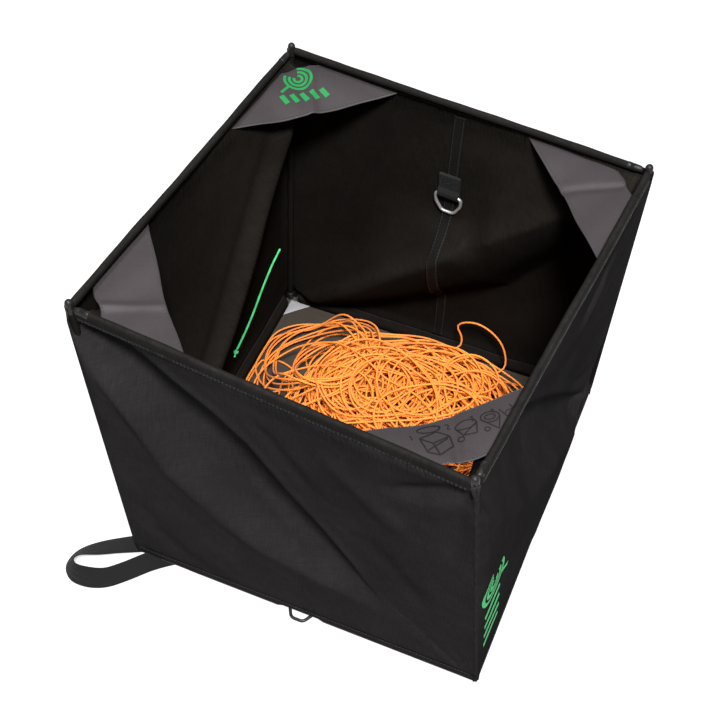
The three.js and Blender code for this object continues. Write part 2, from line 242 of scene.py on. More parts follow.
def woven(name, colour, pale, roughness, pitch=0.0006, sheen=0.2, slub=1.0, specular=0.3):
    """Plain-woven nylon: crossing threads, slubs along them, and paler where the wear attribute is
    high: wear at edges, and a painted highlight along the walls' creases and rims.
    """
    settings = {"Sheen_Weight": sheen, "Sheen_Roughness": 0.45, "Specular_IOR_Level": specular}
    paint = Paint(name, colour, **settings)
    metres = paint.node("TexCoord").outputs["UV"]
    flat = paint.node("SeparateXYZ", {0: metres})
    turns = math.pi / pitch
    warp = paint.math("SINE", paint.math("MULTIPLY", flat.outputs[0], turns))
    weft = paint.math("SINE", paint.math("MULTIPLY", flat.outputs[1], turns))
    threads = paint.math("MULTIPLY", warp, weft)
    along = paint.noise(paint.scaled(metres, (900, 60, 1)), 1.0, 2.0)
    across = paint.noise(paint.scaled(metres, (60, 900, 1)), 1.0, 2.0)
    slubs = paint.math("MULTIPLY", along, across)
    patches = paint.noise(paint.scaled(metres, (9, 9, 1)), 1.0, 5.0, 0.6)
    rub = paint.noise(paint.scaled(metres, (120, 120, 1)), 1.0, 3.0, 0.7)
    wear_and_highlight = paint.node("Attribute", attribute_name="wear_and_highlight").outputs["Fac"]
    # paler cloth where the point attribute is high: wear at edges, and a painted highlight at wall
    # creases and rims
    worn = paint.math("MULTIPLY", wear_and_highlight, paint.spread(rub, 0.35, 0.7))
    pale_share = paint.math("ADD", paint.spread(patches, 0.35, 0.75, 0.0, 0.35), worn)
    streaked = paint.math("ADD", pale_share, paint.spread(slubs, 0.15, 0.4, -0.12, 0.16))
    clamped = paint.math("MAXIMUM", paint.math("MINIMUM", streaked, 1.0), 0.0)
    tint = paint.mixed(clamped, colour, pale)
    gloss = paint.spread(patches, 0.3, 0.7, roughness + 0.05, roughness - 0.07)
    gathers = paint.noise(paint.scaled(metres, (330, 75, 1)), 1.0, 2.0)
    gathered = paint.node("Attribute", attribute_name="gathered").outputs["Fac"]
    rumple = paint.bump(paint.math("MULTIPLY", gathers, gathered), 0.0028)
    weave = paint.bump(threads, 0.00006, 0.6, rumple)
    relief = paint.bump(slubs, 0.00035 * slub, 0.7, weave)
    return paint.finish(tint, gloss, relief)


def webbing(name, colour, pale):
    """Flat nylon webbing: ribs across the strap, each a row of short floats."""
    paint = Paint(name, colour, Sheen_Weight=0.03, Sheen_Roughness=0.5, Specular_IOR_Level=0.12)
    metres = paint.node("TexCoord").outputs["UV"]
    flat = paint.node("SeparateXYZ", {0: metres})
    zigzag = paint.math("PINGPONG", flat.outputs[0], 0.003)
    slant = paint.math("ADD", flat.outputs[1], zigzag)
    ribs = paint.math("SINE", paint.math("MULTIPLY", slant, 2 * math.pi / 0.0016))
    cords = paint.math("SINE", paint.math("MULTIPLY", flat.outputs[0], 2 * math.pi / 0.0015))
    height = paint.math("ADD", ribs, paint.math("MULTIPLY", cords, 0.6))
    fuzz = paint.noise(paint.scaled(metres, (700, 700, 1)), 1.0, 3.0)
    wear_and_highlight = paint.node("Attribute", attribute_name="wear_and_highlight").outputs["Fac"]
    share = paint.math("ADD", paint.spread(height, -1.4, 1.6, 0.0, 0.5), wear_and_highlight)
    tint = paint.mixed(paint.math("MULTIPLY", share, fuzz), colour, pale)
    normal = paint.bump(fuzz, 0.0002, 0.5, paint.bump(height, 0.00016))
    return paint.finish(tint, paint.spread(fuzz, 0.3, 0.7, 0.72, 0.9), normal)


def braided(name, colour, deep, pale, strands, pitch, roughness, soil, painted_glow=0.0):
    """Braided line: U runs once round it, and V along it in metres. It can give off light of its
    own colour, a painted glow that makes it look brighter than the lamps make it.
    """
    # the emission below is a painted glow in the line's own colour, not a lamp
    paint = Paint(name, colour, Sheen_Weight=0.08, Sheen_Roughness=0.4, Specular_IOR_Level=0.4,
                  Emission_Strength=painted_glow)
    paint.surface.inputs["Emission Color"].default_value = (*colour, 1)
    metres = paint.node("TexCoord").outputs["UV"]
    flat = paint.node("SeparateXYZ", {0: metres})
    round_it = paint.math("MULTIPLY", flat.outputs[0], 2 * math.pi * strands)
    along = paint.math("MULTIPLY", flat.outputs[1], 2 * math.pi / pitch)
    left = paint.math("SINE", paint.math("ADD", round_it, along))
    right = paint.math("SINE", paint.math("SUBTRACT", round_it, along))
    plaits = paint.math("MAXIMUM", left, right)
    lengths = paint.noise(paint.scaled(metres, (0, 2.2, 1)), 1.0, 4.0, 0.6)
    fibres = paint.noise(paint.scaled(metres, (6, 900, 1)), 1.0, 2.0)
    shade = paint.mixed(paint.spread(lengths, 0.35, 0.7, 0.0, soil), colour, deep)
    # the raised plaits are mixed towards the paler colour: a painted highlight on the braid
    tint = paint.mixed(paint.spread(plaits, 0.1, 1.0, 0.0, 0.4), shade, pale)
    normal = paint.bump(fibres, 0.00008, 0.4, paint.bump(plaits, 0.00022, 0.8))
    return paint.finish(tint, paint.spread(fibres, 0.3, 0.7, roughness, roughness + 0.15), normal)


def moulded(name, colour, pale, roughness, grain=900.0, metallic=0.0):
    """Rubber, plastic or satin metal: fine grain, scuffed paler here and there."""
    paint = Paint(name, colour, Metallic=metallic, Specular_IOR_Level=0.25)
    place = paint.node("TexCoord").outputs["Object"]
    fine = paint.noise(place, grain, 3.0, 0.6)
    scuffs = paint.noise(place, 160.0, 4.0, 0.7)
    tint = paint.mixed(paint.spread(scuffs, 0.5, 0.75, 0.0, 0.7), colour, pale)
    gloss = paint.spread(fine, 0.3, 0.7, roughness - 0.08, roughness + 0.12)
    return paint.finish(tint, gloss, paint.bump(fine, 0.00006, 0.6))


def glass_rod(name, colour, pale):
    """Pultruded rod: fine streaks of fibre along it."""
    paint = Paint(name, colour, Coat_Weight=0.3, Coat_Roughness=0.2)
    place = paint.node("TexCoord").outputs["Object"]
    streaks = paint.noise(paint.scaled(place, (700, 700, 30)), 1.0, 3.0)
    tint = paint.mixed(streaks, colour, pale)
    gloss = paint.spread(streaks, 0.3, 0.7, 0.3, 0.5)
    return paint.finish(tint, gloss, paint.bump(streaks, 0.00005))


def printed(name, colour, worn):
    """Screen-printed ink: thin enough that the weave breaks it up a little."""
    paint = Paint(name, colour, Specular_IOR_Level=0.3)
    place = paint.node("TexCoord").outputs["Object"]
    specks = paint.noise(place, 1300.0, 3.0, 0.7)
    patches = paint.noise(place, 90.0, 3.0)
    thin = paint.math("MULTIPLY", paint.spread(specks, 0.5, 0.8), paint.spread(patches, 0.3, 0.7))
    tint = paint.mixed(thin, colour, worn)
    return paint.finish(tint, paint.spread(specks, 0.3, 0.7, 0.5, 0.75), paint.bump(specks, 0.0001))


def make_materials():
    return {
        "outside": woven("nylon_outside", (0.0120, 0.0112, 0.0114), (0.0290, 0.0275, 0.0282), 0.5,
                         sheen=0.0, specular=0.0),
        "inside": woven("nylon_inside", (0.0066, 0.0057, 0.0050), (0.0165, 0.0140, 0.0120), 0.6,
                        sheen=0.0, specular=0.0),
        "hem": woven("nylon_hem", (0.0068, 0.0062, 0.0058), (0.0180, 0.0165, 0.0155), 0.56,
                     sheen=0.0, slub=1.4, specular=0.01),
        "flap": woven("nylon_flap", (0.0205, 0.0165, 0.0185), (0.036, 0.030, 0.033), 0.62,
                      sheen=0.05, slub=0.8),
        "floor": woven("nylon_floor", (0.030, 0.0235, 0.0170), (0.052, 0.042, 0.033), 0.66,
                       pitch=0.0008, sheen=0.2, slub=1.5),
        "patch": woven("nylon_patch", (0.25, 0.24, 0.255), (0.34, 0.33, 0.345), 0.6, sheen=0.1),
        "webbing": webbing("webbing", (0.0050, 0.0050, 0.0054), (0.022, 0.022, 0.023)),
        # the throw line and the green cord give off a little light of their own: painted glow
        "line": braided("throw_line", (0.82, 0.215, 0.016), (0.60, 0.115, 0.006),
                        (0.96, 0.38, 0.065), 4, 0.006, 0.5, 0.8, painted_glow=0.03),
        "cord": braided("green_cord", (0.02, 0.60, 0.15), (0.01, 0.42, 0.10),
                        (0.20, 0.80, 0.38), 4, 0.005, 0.45, 0.5, painted_glow=0.1),
        "thread": braided("thread", (0.007, 0.0066, 0.007), (0.004, 0.004, 0.004),
                          (0.020, 0.019, 0.020), 2, 0.0012, 0.6, 0.4),
        "cap": moulded("cap_rubber", (0.006, 0.006, 0.006), (0.02, 0.02, 0.021), 0.5),
        "ring": moulded("ring_silver", (0.42, 0.44, 0.46), (0.62, 0.64, 0.66), 0.34,
                        metallic=0.75, grain=600.0),
        "dark_ring": moulded("ring_black", (0.012, 0.012, 0.013), (0.09, 0.09, 0.095), 0.38,
                             metallic=0.3),
        "rod": glass_rod("rod", (0.012, 0.012, 0.013), (0.035, 0.035, 0.037)),
        "green_ink": printed("green_ink", (0.004, 0.150, 0.034), (0.010, 0.085, 0.028)),
        "bright_ink": printed("bright_ink", (0.006, 0.34, 0.080), (0.02, 0.20, 0.06)),
        "black_ink": printed("black_ink", (0.004, 0.0035, 0.004), (0.02, 0.016, 0.018)),
    }


# ---------------------------------------------------------------- mesh building

def smooth(value, low, high):
    """0 below low, 1 above high and an even rise between them."""
    share = np.clip((np.asarray(value, float) - low) / (high - low), 0, 1)
    return share * share * (3 - 2 * share)


def unit(vectors):
    vectors = np.asarray(vectors, float)
    return vectors / np.maximum(np.linalg.norm(vectors, axis=-1, keepdims=True), 1e-12)


def run_along(points):
    """How far along a path each of its points is."""
    steps = np.linalg.norm(np.diff(points, axis=0), axis=1)
    return np.concatenate([[0], np.cumsum(steps)])


class Build:
    """Points, faces and UVs gathered for one mesh object."""

    def __init__(self):
        self.points = []
        self.faces = []
        self.uvs = []
        self.count = 0

    def add(self, points, faces, uvs):
        points = np.asarray(points, float).reshape(-1, 3)
        self.points.append(points)
        self.uvs.append(np.asarray(uvs, float).reshape(-1, 2))
        self.faces += [tuple(int(i) + self.count for i in face) for face in faces]
        self.count += len(points)

    def make(self, name, *materials):
        data = bpy.data.meshes.new(name)
        data.from_pydata(np.concatenate(self.points).tolist(), [], self.faces)
        uvs = np.concatenate(self.uvs)
        layer = data.uv_layers.new(name="UVMap")
        corner = np.zeros(len(data.loops), int)
        data.loops.foreach_get("vertex_index", corner)
        layer.data.foreach_set("uv", uvs[corner].astype(np.float32).ravel())
        for material in materials:
            data.materials.append(material)
        data.polygons.foreach_set("use_smooth", [True] * len(data.polygons))
        data.update()
        made = bpy.data.objects.new(name, data)
        bpy.context.scene.collection.objects.link(made)
        return made


def grid_faces(rows, columns, wrap=False):
    """Faces of a grid of points, row by row; wrap joins each row's end to its start."""
    faces = []
    for row in range(rows - 1):
        for column in range(columns if wrap else columns - 1):
            after = (column + 1) % columns
            near, far = row * columns, (row + 1) * columns
            faces.append((near + column, near + after, far + after, far + column))
    return faces


def tube_faces(rings, sides):
    """Faces of a tube of rings, with both of its ends closed."""
    last = (rings - 1) * sides
    near_end = tuple(range(sides))[::-1]
    far_end = tuple(last + i for i in range(sides))
    return grid_faces(rings, sides, wrap=True) + [near_end, far_end]


def belong(piece, body, slot, *nodes):
    """The piece moves with one body and stands for the nodes named, if any. The slot is not used.
    """
    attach(piece, body)
    if nodes:
        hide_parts(*nodes)


def set_point_attribute(piece, values, name="wear_and_highlight"):
    attribute = piece.data.attributes.new(name, "FLOAT", "POINT")
    attribute.data.foreach_set("value", np.asarray(values, np.float32).ravel())


def thicken(piece, thickness, inner_material=0):
    """Give cloth its thickness, on the side away from its faces' normals."""
    solid = piece.modifiers.new("thickness", "SOLIDIFY")
    solid.thickness = thickness
    solid.offset = -1
    solid.material_offset = inner_material
    return piece


def tangents(points):
    return unit(np.gradient(np.asarray(points, float), axis=0))


def carried_frames(points):
    """Two directions across a path at each point, turning as little as they can."""
    ahead = tangents(points)
    start = np.cross(ahead[0], (0, 0, 1))
    if np.linalg.norm(start) < 0.1:
        start = np.cross(ahead[0], (0, 1, 0))
    side = unit(start)
    sides = []
    for tangent in ahead:
        side = side - tangent * (side @ tangent)
        side = side / np.linalg.norm(side)
        sides.append(side)
    sides = np.array(sides)
    return sides, np.cross(ahead, sides)


def add_tube(build, points, radius, sides=8):
    """A round tube along a path; radius is one number, or one for each point."""
    points = np.asarray(points, float)
    radius = np.broadcast_to(radius, len(points))
    across, over = carried_frames(points)
    angle = np.linspace(0, 2 * math.pi, sides, endpoint=False)
    around = across[:, None] * np.cos(angle)[:, None] + over[:, None] * np.sin(angle)[:, None]
    rings = points[:, None] + around * radius[:, None, None]
    length = run_along(points)
    uvs = np.stack(np.broadcast_arrays(angle / (2 * math.pi), length[:, None]), axis=-1)
    build.add(rings, tube_faces(len(points), sides), uvs)


def add_closed_tube(build, points, radius, sides):
    """A round tube round a closed path that lies nearly in one plane."""
    points = np.asarray(points, float)
    ahead = unit(np.roll(points, -1, axis=0) - np.roll(points, 1, axis=0))
    normal = unit(np.cross(ahead[0], ahead[len(points) // 4]))
    across = unit(np.cross(ahead, normal))
    angle = np.linspace(0, 2 * math.pi, sides, endpoint=False)
    around = across[:, None] * np.cos(angle)[:, None] + normal * np.sin(angle)[:, None]
    rings = points[:, None] + around * radius
    steps = np.linspace(0, 1, len(points))[:, None]
    uvs = np.stack(np.broadcast_arrays(angle / (2 * math.pi), steps), axis=-1)
    faces = grid_faces(len(points), sides, wrap=True)
    last = (len(points) - 1) * sides
    faces += [(last + i, last + (i + 1) % sides, (i + 1) % sides, i) for i in range(sides)]
    build.add(rings, faces, uvs)


def rounded_path(corners, radius, steps):
    """A closed path through corners, each rounded off."""
    corners = np.asarray(corners, float)
    path = []
    for index, corner in enumerate(corners):
        before = unit(corners[index - 1] - corner)
        after = unit(corners[(index + 1) % len(corners)] - corner)
        for share in np.linspace(0, 1, steps):
            start, end = corner + before * radius, corner + after * radius
            path.append((1 - share) ** 2 * start + 2 * share * (1 - share) * corner
                        + share ** 2 * end)
    return np.array(path)


def curve_through(points, steps):
    """A Catmull-Rom curve through points, with steps pieces to each span."""
    points = np.asarray(points, float)
    padded = np.concatenate([[2 * points[0] - points[1]], points, [2 * points[-1] - points[-2]]])
    share = np.linspace(0, 1, steps, endpoint=False)[:, None]
    spans = []
    for a, b, c, d in zip(padded, padded[1:], padded[2:], padded[3:]):
        spans.append(0.5 * (2 * b + (c - a) * share + (2 * a - 5 * b + 4 * c - d) * share ** 2
                            + (3 * b - a - 3 * c + d) * share ** 3))
    return np.concatenate(spans + [points[-1:]])


def respaced(points, step):
    """A path's points spread out evenly, about step apart."""
    points = np.asarray(points, float)
    length = run_along(points)
    at = np.linspace(0, length[-1], max(2, round(length[-1] / step) + 1))
    return np.stack([np.interp(at, length, points[:, axis]) for axis in range(3)], axis=1)


def add_strap(build, centres, across, width, thickness):
    """A flat strap along a path, with rounded edges; across is its width's direction."""
    centres = np.asarray(centres, float)
    across = unit(np.broadcast_to(across, centres.shape))
    over = unit(np.cross(across, tangents(centres)))
    half, deep = width / 2, thickness / 2
    lower = [(-half, -0.3), (-half + deep, -1), (-half / 2, -1), (0, -1), (half / 2, -1),
             (half - deep, -1), (half, -0.3)]
    section = lower + [(x, -z) for x, z in reversed(lower)]
    sides = np.array([x for x, _ in section])
    lifts = np.array([z for _, z in section]) * deep
    rings = centres[:, None] + across[:, None] * sides[:, None] + over[:, None] * lifts[:, None]
    uvs = np.stack(np.broadcast_arrays(sides, run_along(centres)[:, None]), axis=-1)
    build.add(rings, tube_faces(len(centres), len(section)), uvs)


def add_stitches(build, path, normals):
    """A row of stitches along a path that lies on cloth."""
    length, gap, width, height = 0.0027, 0.0011, 0.00075, 0.00035
    path = np.asarray(path, float)
    normals = np.broadcast_to(normals, path.shape)
    run = run_along(path)
    count = int(run[-1] // (length + gap))
    # (share of its length, share of its width, share of its height) along one stitch
    shares = [(0.0, 0.3, 0.0), (0.15, 0.85, 0.8), (0.5, 1.0, 1.0), (0.85, 0.85, 0.8),
              (1.0, 0.3, 0.0)]
    for index in range(count):
        start = index * (length + gap) + gap / 2
        at = [start + share * length for share, _, _ in shares]
        middle = np.stack([np.interp(at, run, path[:, axis]) for axis in range(3)], axis=1)
        up = unit(np.stack([np.interp(at, run, normals[:, axis]) for axis in range(3)], axis=1))
        side = unit(np.cross(middle[-1] - middle[0], up))
        wide = np.array([share for _, share, _ in shares])[:, None] * width / 2
        tall = np.array([share for _, _, share in shares])[:, None] * height
        rows = np.stack([middle - side * wide, middle + up * tall, middle + side * wide], axis=1)
        uvs = [[(0.1 * column, row * 0.25 * length) for column in range(3)] for row in range(5)]
        build.add(rows, grid_faces(5, 3), uvs)


# ---------------------------------------------------------------- the walls' surface

def crease_ends(wall):
    """The rim corner that the wall starts at, and the floor corner that it ends at."""
    joint = JOINTS[f"crease_{wall}"]
    middle = np.array(joint["pos_m"])
    axis = np.array(joint["axis"])
    foot = middle - axis * (middle[2] / axis[2])
    return 2 * middle - foot, foot


def wall_corners(wall):
    """(first foot, first rim corner, last foot, last rim corner)"""
    index = WALLS.index(wall)
    before, after = WALLS[index - 1], WALLS[(index + 1) % 4]
    rim, foot = crease_ends(wall)
    return crease_ends(before)[1], rim, foot, crease_ends(after)[0]


def level_inward(start, end):
    """The level direction into the cube, across an edge that runs anticlockwise."""
    along = unit(end - start)
    return unit(np.array([-along[1], along[0], 0.0]))


def wall_inward(wall):
    foot_a, rim_a, foot_b, rim_b = wall_corners(wall)
    return unit(level_inward(foot_a, foot_b) + level_inward(rim_a, rim_b))


def groove(u, v, start, end, depth, width):
    """A straight groove in a wall, in millimetres; a negative depth makes a ridge."""
    start, end = np.array(start, float), np.array(end, float)
    length = np.linalg.norm(end - start)
    along = ((u - start[0]) * (end[0] - start[0]) + (v - start[1]) * (end[1] - start[1])) / length
    across = ((u - start[0]) * (end[1] - start[1]) - (v - start[1]) * (end[0] - start[0])) / length
    start_share = smooth(along, -0.15 * length, 0.25 * length)
    end_share = 1 - smooth(along, 0.7 * length, 1.15 * length)
    return -depth * start_share * end_share * np.exp(-(across / width) ** 2)


# Each wall's fold, in millimetres along the crease and across it: the sharp crest above the
# crease, and the edge below it where the cloth has swelled out again.
CREST = {
    "front": [(0, 4), (35, 10), (59, 30), (110, 34), (150, 41), (196, 41), (260, 26), (317, 17),
              (357, 8), (392, 0), (563, 0)],
    "right": [(0, 4), (35, 8), (73, 21), (115, 38), (158, 43), (230, 38), (311, 31), (400, 20),
              (508, 8), (563, 2)],
    "back": [(0, 3), (60, 14), (140, 14), (300, 8), (420, 4), (563, 2)],
    "left": [(0, 3), (60, 16), (140, 18), (300, 10), (420, 4), (563, 2)],
}
SWELL_EDGE = {
    "front": [(0, -22), (35, -26), (62, -34), (131, -56), (194, -84), (260, -92), (325, -81),
              (375, -56), (420, -34), (563, -24)],
    "right": [(0, -24), (120, -50), (260, -70), (420, -50), (563, -24)],
    "back": [(0, -24), (120, -60), (260, -90), (420, -60), (563, -24)],
    "left": [(0, -24), (120, -60), (260, -90), (420, -60), (563, -24)],
}
DEPTH_SHARE = {
    "front": [(0, 0), (30, 0.75), (70, 1), (200, 1), (300, 0.85), (360, 0.55), (395, 0.22),
              (420, 0.06), (450, 0), (563, 0)],
    "right": [(0, 0), (30, 0.5), (120, 0.95), (280, 1), (450, 0.8), (530, 0.5), (563, 0)],
    "back": [(0, 0), (25, 0.6), (90, 1), (300, 1), (450, 0.75), (530, 0.45), (563, 0)],
    "left": [(0, 0), (25, 0.6), (90, 1), (300, 1), (450, 0.75), (530, 0.45), (563, 0)],
}
CREASE_DEPTH = {"front": 35.0, "right": 30.0, "back": 35.0, "left": 34.0}
CREASE_SPREAD = {"front": 60.0, "right": 60.0, "back": 26.0, "left": 45.0}
SHOULDER = {"front": 6.0, "right": 14.0, "back": 24.0, "left": 22.0}

# Folds that only one wall has: start, end, depth and width in millimetres, from the wall's
# lower left corner as seen from outside.
SINGLE_FOLDS = {
    "front": [((399, 384), (318, 322), 9.0, 10), ((388, 350), (372, 250), 3.0, 9),
              ((26, 335), (80, 200), -4.5, 9), ((78, 205), (175, 110), -4.0, 10),
              ((150, 190), (240, 96), -2.5, 8), ((250, 335), (335, 250), -3.0, 14),
              ((180, 335), (235, 245), 3.0, 11), ((290, 210), (345, 120), 2.5, 13),
              ((20, 120), (70, 20), 2.0, 14)],
    "right": [((318, 352), (262, 312), 5.0, 6), ((305, 330), (255, 285), -2.5, 8),
              ((388, 60), (300, 120), 2.5, 9), ((30, 352), (80, 300), 3.5, 9)],
    "back": [((60, 340), (150, 250), -2.2, 16), ((200, 300), (205, 120), 1.2, 9)],
    "left": [((50, 330), (140, 240), -2.2, 18), ((340, 330), (370, 230), 1.8, 10)],
}


# Gathers that fan out of a corner of every wall: corner, number of folds, height.
FANS = [(0, 396, 11, 1.5), (400, 0, 9, 1.1), (400, 396, 8, 0.9)]


def crease_fold(wall, a, b):
    """The big fold at the crease, in millimetres outward; a runs along it and b across it."""
    crest = np.interp(a, *zip(*CREST[wall]))
    foot = np.interp(a, *zip(*SWELL_EDGE[wall]))
    share = np.interp(a, *zip(*DEPTH_SHARE[wall]))
    shoulder, depth = SHOULDER[wall] * share, CREASE_DEPTH[wall] * share
    above = -shoulder * np.exp(-np.maximum(b - crest, 0) / CREASE_SPREAD[wall])
    bottom = crest - 13
    drop = -shoulder - (depth - shoulder) * (1 - smooth(b, bottom, crest))
    rise = np.clip((bottom - b) / np.maximum(bottom - foot, 1), 0, 1)
    below = -depth * (1 - rise ** 1.7) + 7.0 * share * smooth(rise, 0.5, 1.0)
    below = below * np.where(b < foot, np.exp(-((b - foot) / 110) ** 2), 1)
    out = np.where(b > crest, above, np.where(b > bottom, drop, below))
    # a thin lip runs along the crest, and a pressed line along the bottom of the fold
    out = out + 2.6 * np.exp(-((b - crest - 3) / 6) ** 2) * share
    return out - 1.0 * np.exp(-np.abs(b - bottom) / 3.0) * share


def small_folds(wall, u, v, a, b):
    """Shallow folds scattered along the crease, and gathers that fan out from three corners."""
    rng = np.random.default_rng(40 + WALLS.index(wall))
    out = np.zeros(np.shape(u))
    for _ in range(15):
        at_a, at_b = rng.uniform(60, 520), rng.uniform(-210, 210)
        width, length = rng.uniform(7, 20), rng.uniform(45, 130)
        height, turn = rng.uniform(-1.3, 1.3), rng.uniform(-0.25, 0.25)
        across = b - at_b - turn * (a - at_a)
        out = out + height * np.exp(-(across / width) ** 2 - ((a - at_a) / length) ** 2)
    for corner_u, corner_v, count, depth in FANS:
        away = np.hypot(u - corner_u, v - corner_v)
        angle = np.arctan2(v - corner_v, u - corner_u)
        fan = np.sin(angle * count * 2 + rng.uniform(0, 6))
        out = out + depth * fan * np.clip(away / 45, 0, 1) * np.exp(-away / 55)
    return out


def relief(wall, s, t):
    """How far the cloth stands out from its two flat triangles, in millimetres."""
    u, v = s * WALL_WIDTH, t * WALL_HEIGHT
    a = (WALL_WIDTH * u + WALL_HEIGHT * (WALL_HEIGHT - v)) / DIAGONAL
    b = (WALL_HEIGHT * u + WALL_WIDTH * (v - WALL_HEIGHT)) / DIAGONAL
    out = crease_fold(wall, a, b) + small_folds(wall, u, v, a, b)
    # the hem's stitching puckers the cloth just below it
    pucker = np.sin(u / 3.9 + 1.5 * np.sin(u / 23)) * np.exp(-(385 - np.minimum(v, 385)) / 10)
    out = out + 0.35 * pucker
    for fold in SINGLE_FOLDS[wall]:
        out = out + groove(u, v, *fold)
    if wall == "back":  # the ring's tab is sewn flat to this wall
        quiet = np.exp(-((u - 200) / 45) ** 4 - ((v - 276) / 50) ** 4)
        out = out * (1 - 0.9 * quiet)
    if wall == "left":  # the short cord leans on this wall
        quiet = np.exp(-((s - 0.22) / 0.16) ** 2 - ((t - 0.24) / 0.13) ** 2)
        out = np.maximum(out, out * (1 - quiet) + 0.6 * quiet)
    # rods and hems hold the cloth flat along its four edges
    sides = np.minimum(u, WALL_WIDTH - u)
    ends = np.minimum(v - FREE_FOOT, FREE_HEAD - v)
    return out * smooth(sides, -1, 15) * smooth(ends, -1, 15)


def corner_round(distance):
    """How far a rounded corner lies inside the sharp one, that distance from it, in mm."""
    gap = np.clip(CORNER_ROUND - distance, 0, CORNER_ROUND)
    return CORNER_ROUND - np.sqrt(np.maximum(CORNER_ROUND ** 2 - gap ** 2, 0))


def analytic_wall(wall, s, t):
    """Points of a wall's cloth; s runs along the wall and t up it, both from 0 to 1."""
    s, t = np.asarray(s, float), np.asarray(t, float)
    foot_a, rim_a, foot_b, rim_b = wall_corners(wall)
    low = foot_a + s[..., None] * (foot_b - foot_a) + t[..., None] * (rim_a - foot_a)
    high = (rim_b + (1 - s)[..., None] * (rim_a - rim_b) + (1 - t)[..., None] * (foot_b - rim_b))
    flat = np.where((s + t < 1)[..., None], low, high)
    sides = np.minimum(s, 1 - s) * WALL_WIDTH
    tucked = HEM_TUCK * smooth(t * WALL_HEIGHT, 373, 386)
    inset = 0.3 + tucked + corner_round(sides) - relief(wall, s, t)
    return flat + wall_inward(wall) * (inset * MM)[..., None]


class WallSheet:
    """A wall's cloth as a grid of points, and the surface that other pieces lie on."""

    def __init__(self, wall):
        self.wall = wall
        edges = np.array([0, 0.0025, 0.006, 0.011])  # closer together where the corners round
        middle = np.linspace(0.018, 0.982, 93)
        self.s = np.concatenate([edges, middle, 1 - edges[::-1]])
        self.t = np.linspace(SHEET_FOOT, SHEET_TOP, 97)
        grid_s, grid_t = np.meshgrid(self.s, self.t)
        self.points = analytic_wall(wall, grid_s, grid_t)
        self.wear_and_highlight = self.wear_and_highlight_at(grid_s, grid_t)

    def wear_and_highlight_at(self, s, t):
        u, v = s * WALL_WIDTH, t * WALL_HEIGHT
        across = (WALL_HEIGHT * u + WALL_WIDTH * (v - WALL_HEIGHT)) / DIAGONAL
        # paler along the crease and just below the hem: partly wear, partly a painted satin
        # highlight; the side edges are paler from wear
        crease = 0.55 * np.exp(-np.abs(across) / 2.5)
        corner = 0.2 * np.exp(-np.minimum(u, WALL_WIDTH - u) / 3.0)
        top = 0.35 * np.exp(-(FREE_HEAD - np.minimum(v, FREE_HEAD)) / 5.0)
        return np.clip(crease + corner + top, 0, 1)

    def at(self, s, t, lift=0.0):
        """Points of the surface, lifted along its outward normal by lift metres."""
        s, t = np.broadcast_arrays(np.asarray(s, float), np.asarray(t, float))
        step = 0.004
        here = self.interpolated(s, t)
        if np.all(lift == 0):
            return here
        ahead = self.interpolated(s + step, t) - self.interpolated(s - step, t)
        above = self.interpolated(s, t + step) - self.interpolated(s, t - step)
        return here + unit(np.cross(ahead, above)) * np.asarray(lift)[..., None]

    def interpolated(self, s, t):
        column = np.clip(np.searchsorted(self.s, s) - 1, 0, len(self.s) - 2)
        row = np.clip(np.searchsorted(self.t, t) - 1, 0, len(self.t) - 2)
        x = ((s - self.s[column]) / (self.s[column + 1] - self.s[column]))[..., None]
        y = ((t - self.t[row]) / (self.t[row + 1] - self.t[row]))[..., None]
        near = self.points[row, column] * (1 - x) + self.points[row, column + 1] * x
        far = self.points[row + 1, column] * (1 - x) + self.points[row + 1, column + 1] * x
        return near * (1 - y) + far * y

    def fold_line(self):
        """Two points on either side of the crease, at the wall's middle."""
        rim, foot = crease_ends(self.wall)
        _, rim_a, _, rim_b = wall_corners(self.wall)
        along = unit(foot - rim)
        side = unit(np.cross(wall_inward(self.wall), along))
        if side @ (rim_b - rim_a) < 0:
            side = -side
        middle = self.at(0.5, 0.5)
        reach = 0.008
        return middle - side * reach, middle + side * reach


def gathered_at(wall, s, t):
    """How gathered the cloth is: below the hem, along its sides and just above the floor."""
    gathered = smooth(t, 0.90, 0.955) * (0.5 + 0.5 * np.sin(s * 19 + 1) ** 2)
    if wall == "back":
        gathered = gathered + 0.4 * np.exp(-((s - 0.52) / 0.2) ** 2 - ((t - 0.74) / 0.16) ** 2)
    near_sides = smooth(-np.minimum(s, 1 - s), -0.03, -0.005)
    above_floor = smooth(-t, -0.10, -0.04)
    return np.clip(gathered + 0.4 * near_sides + 0.4 * above_floor, 0, 1)


def add_wall(wall, materials):
    sheet = WallSheet(wall)
    rows, columns = sheet.points.shape[:2]
    grid_s, grid_t = np.meshgrid(sheet.s, sheet.t)
    uvs = np.stack([grid_s * WALL_WIDTH * MM, grid_t * WALL_HEIGHT * MM], axis=-1)
    build = Build()
    build.add(sheet.points, grid_faces(rows, columns), uvs)
    cloth = build.make(f"wall_{wall}", materials["outside"], materials["inside"])
    set_point_attribute(cloth, sheet.wear_and_highlight)
    set_point_attribute(cloth, gathered_at(wall, grid_s, grid_t), "gathered")
    start, end = sheet.fold_line()
    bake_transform(cloth)
    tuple(start)
    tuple(end)
    thicken(cloth, CLOTH, inner_material=1)
    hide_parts(f"wall_lower_{wall}", f"wall_upper_{wall}")
    return sheet


# ---------------------------------------------------------------- hems, sleeves and caps

def rim_frame(wall):
    """(start, along, inward) of a wall's rim edge."""
    _, rim_a, _, rim_b = wall_corners(wall)
    return rim_a, unit(rim_b - rim_a), level_inward(rim_a, rim_b)


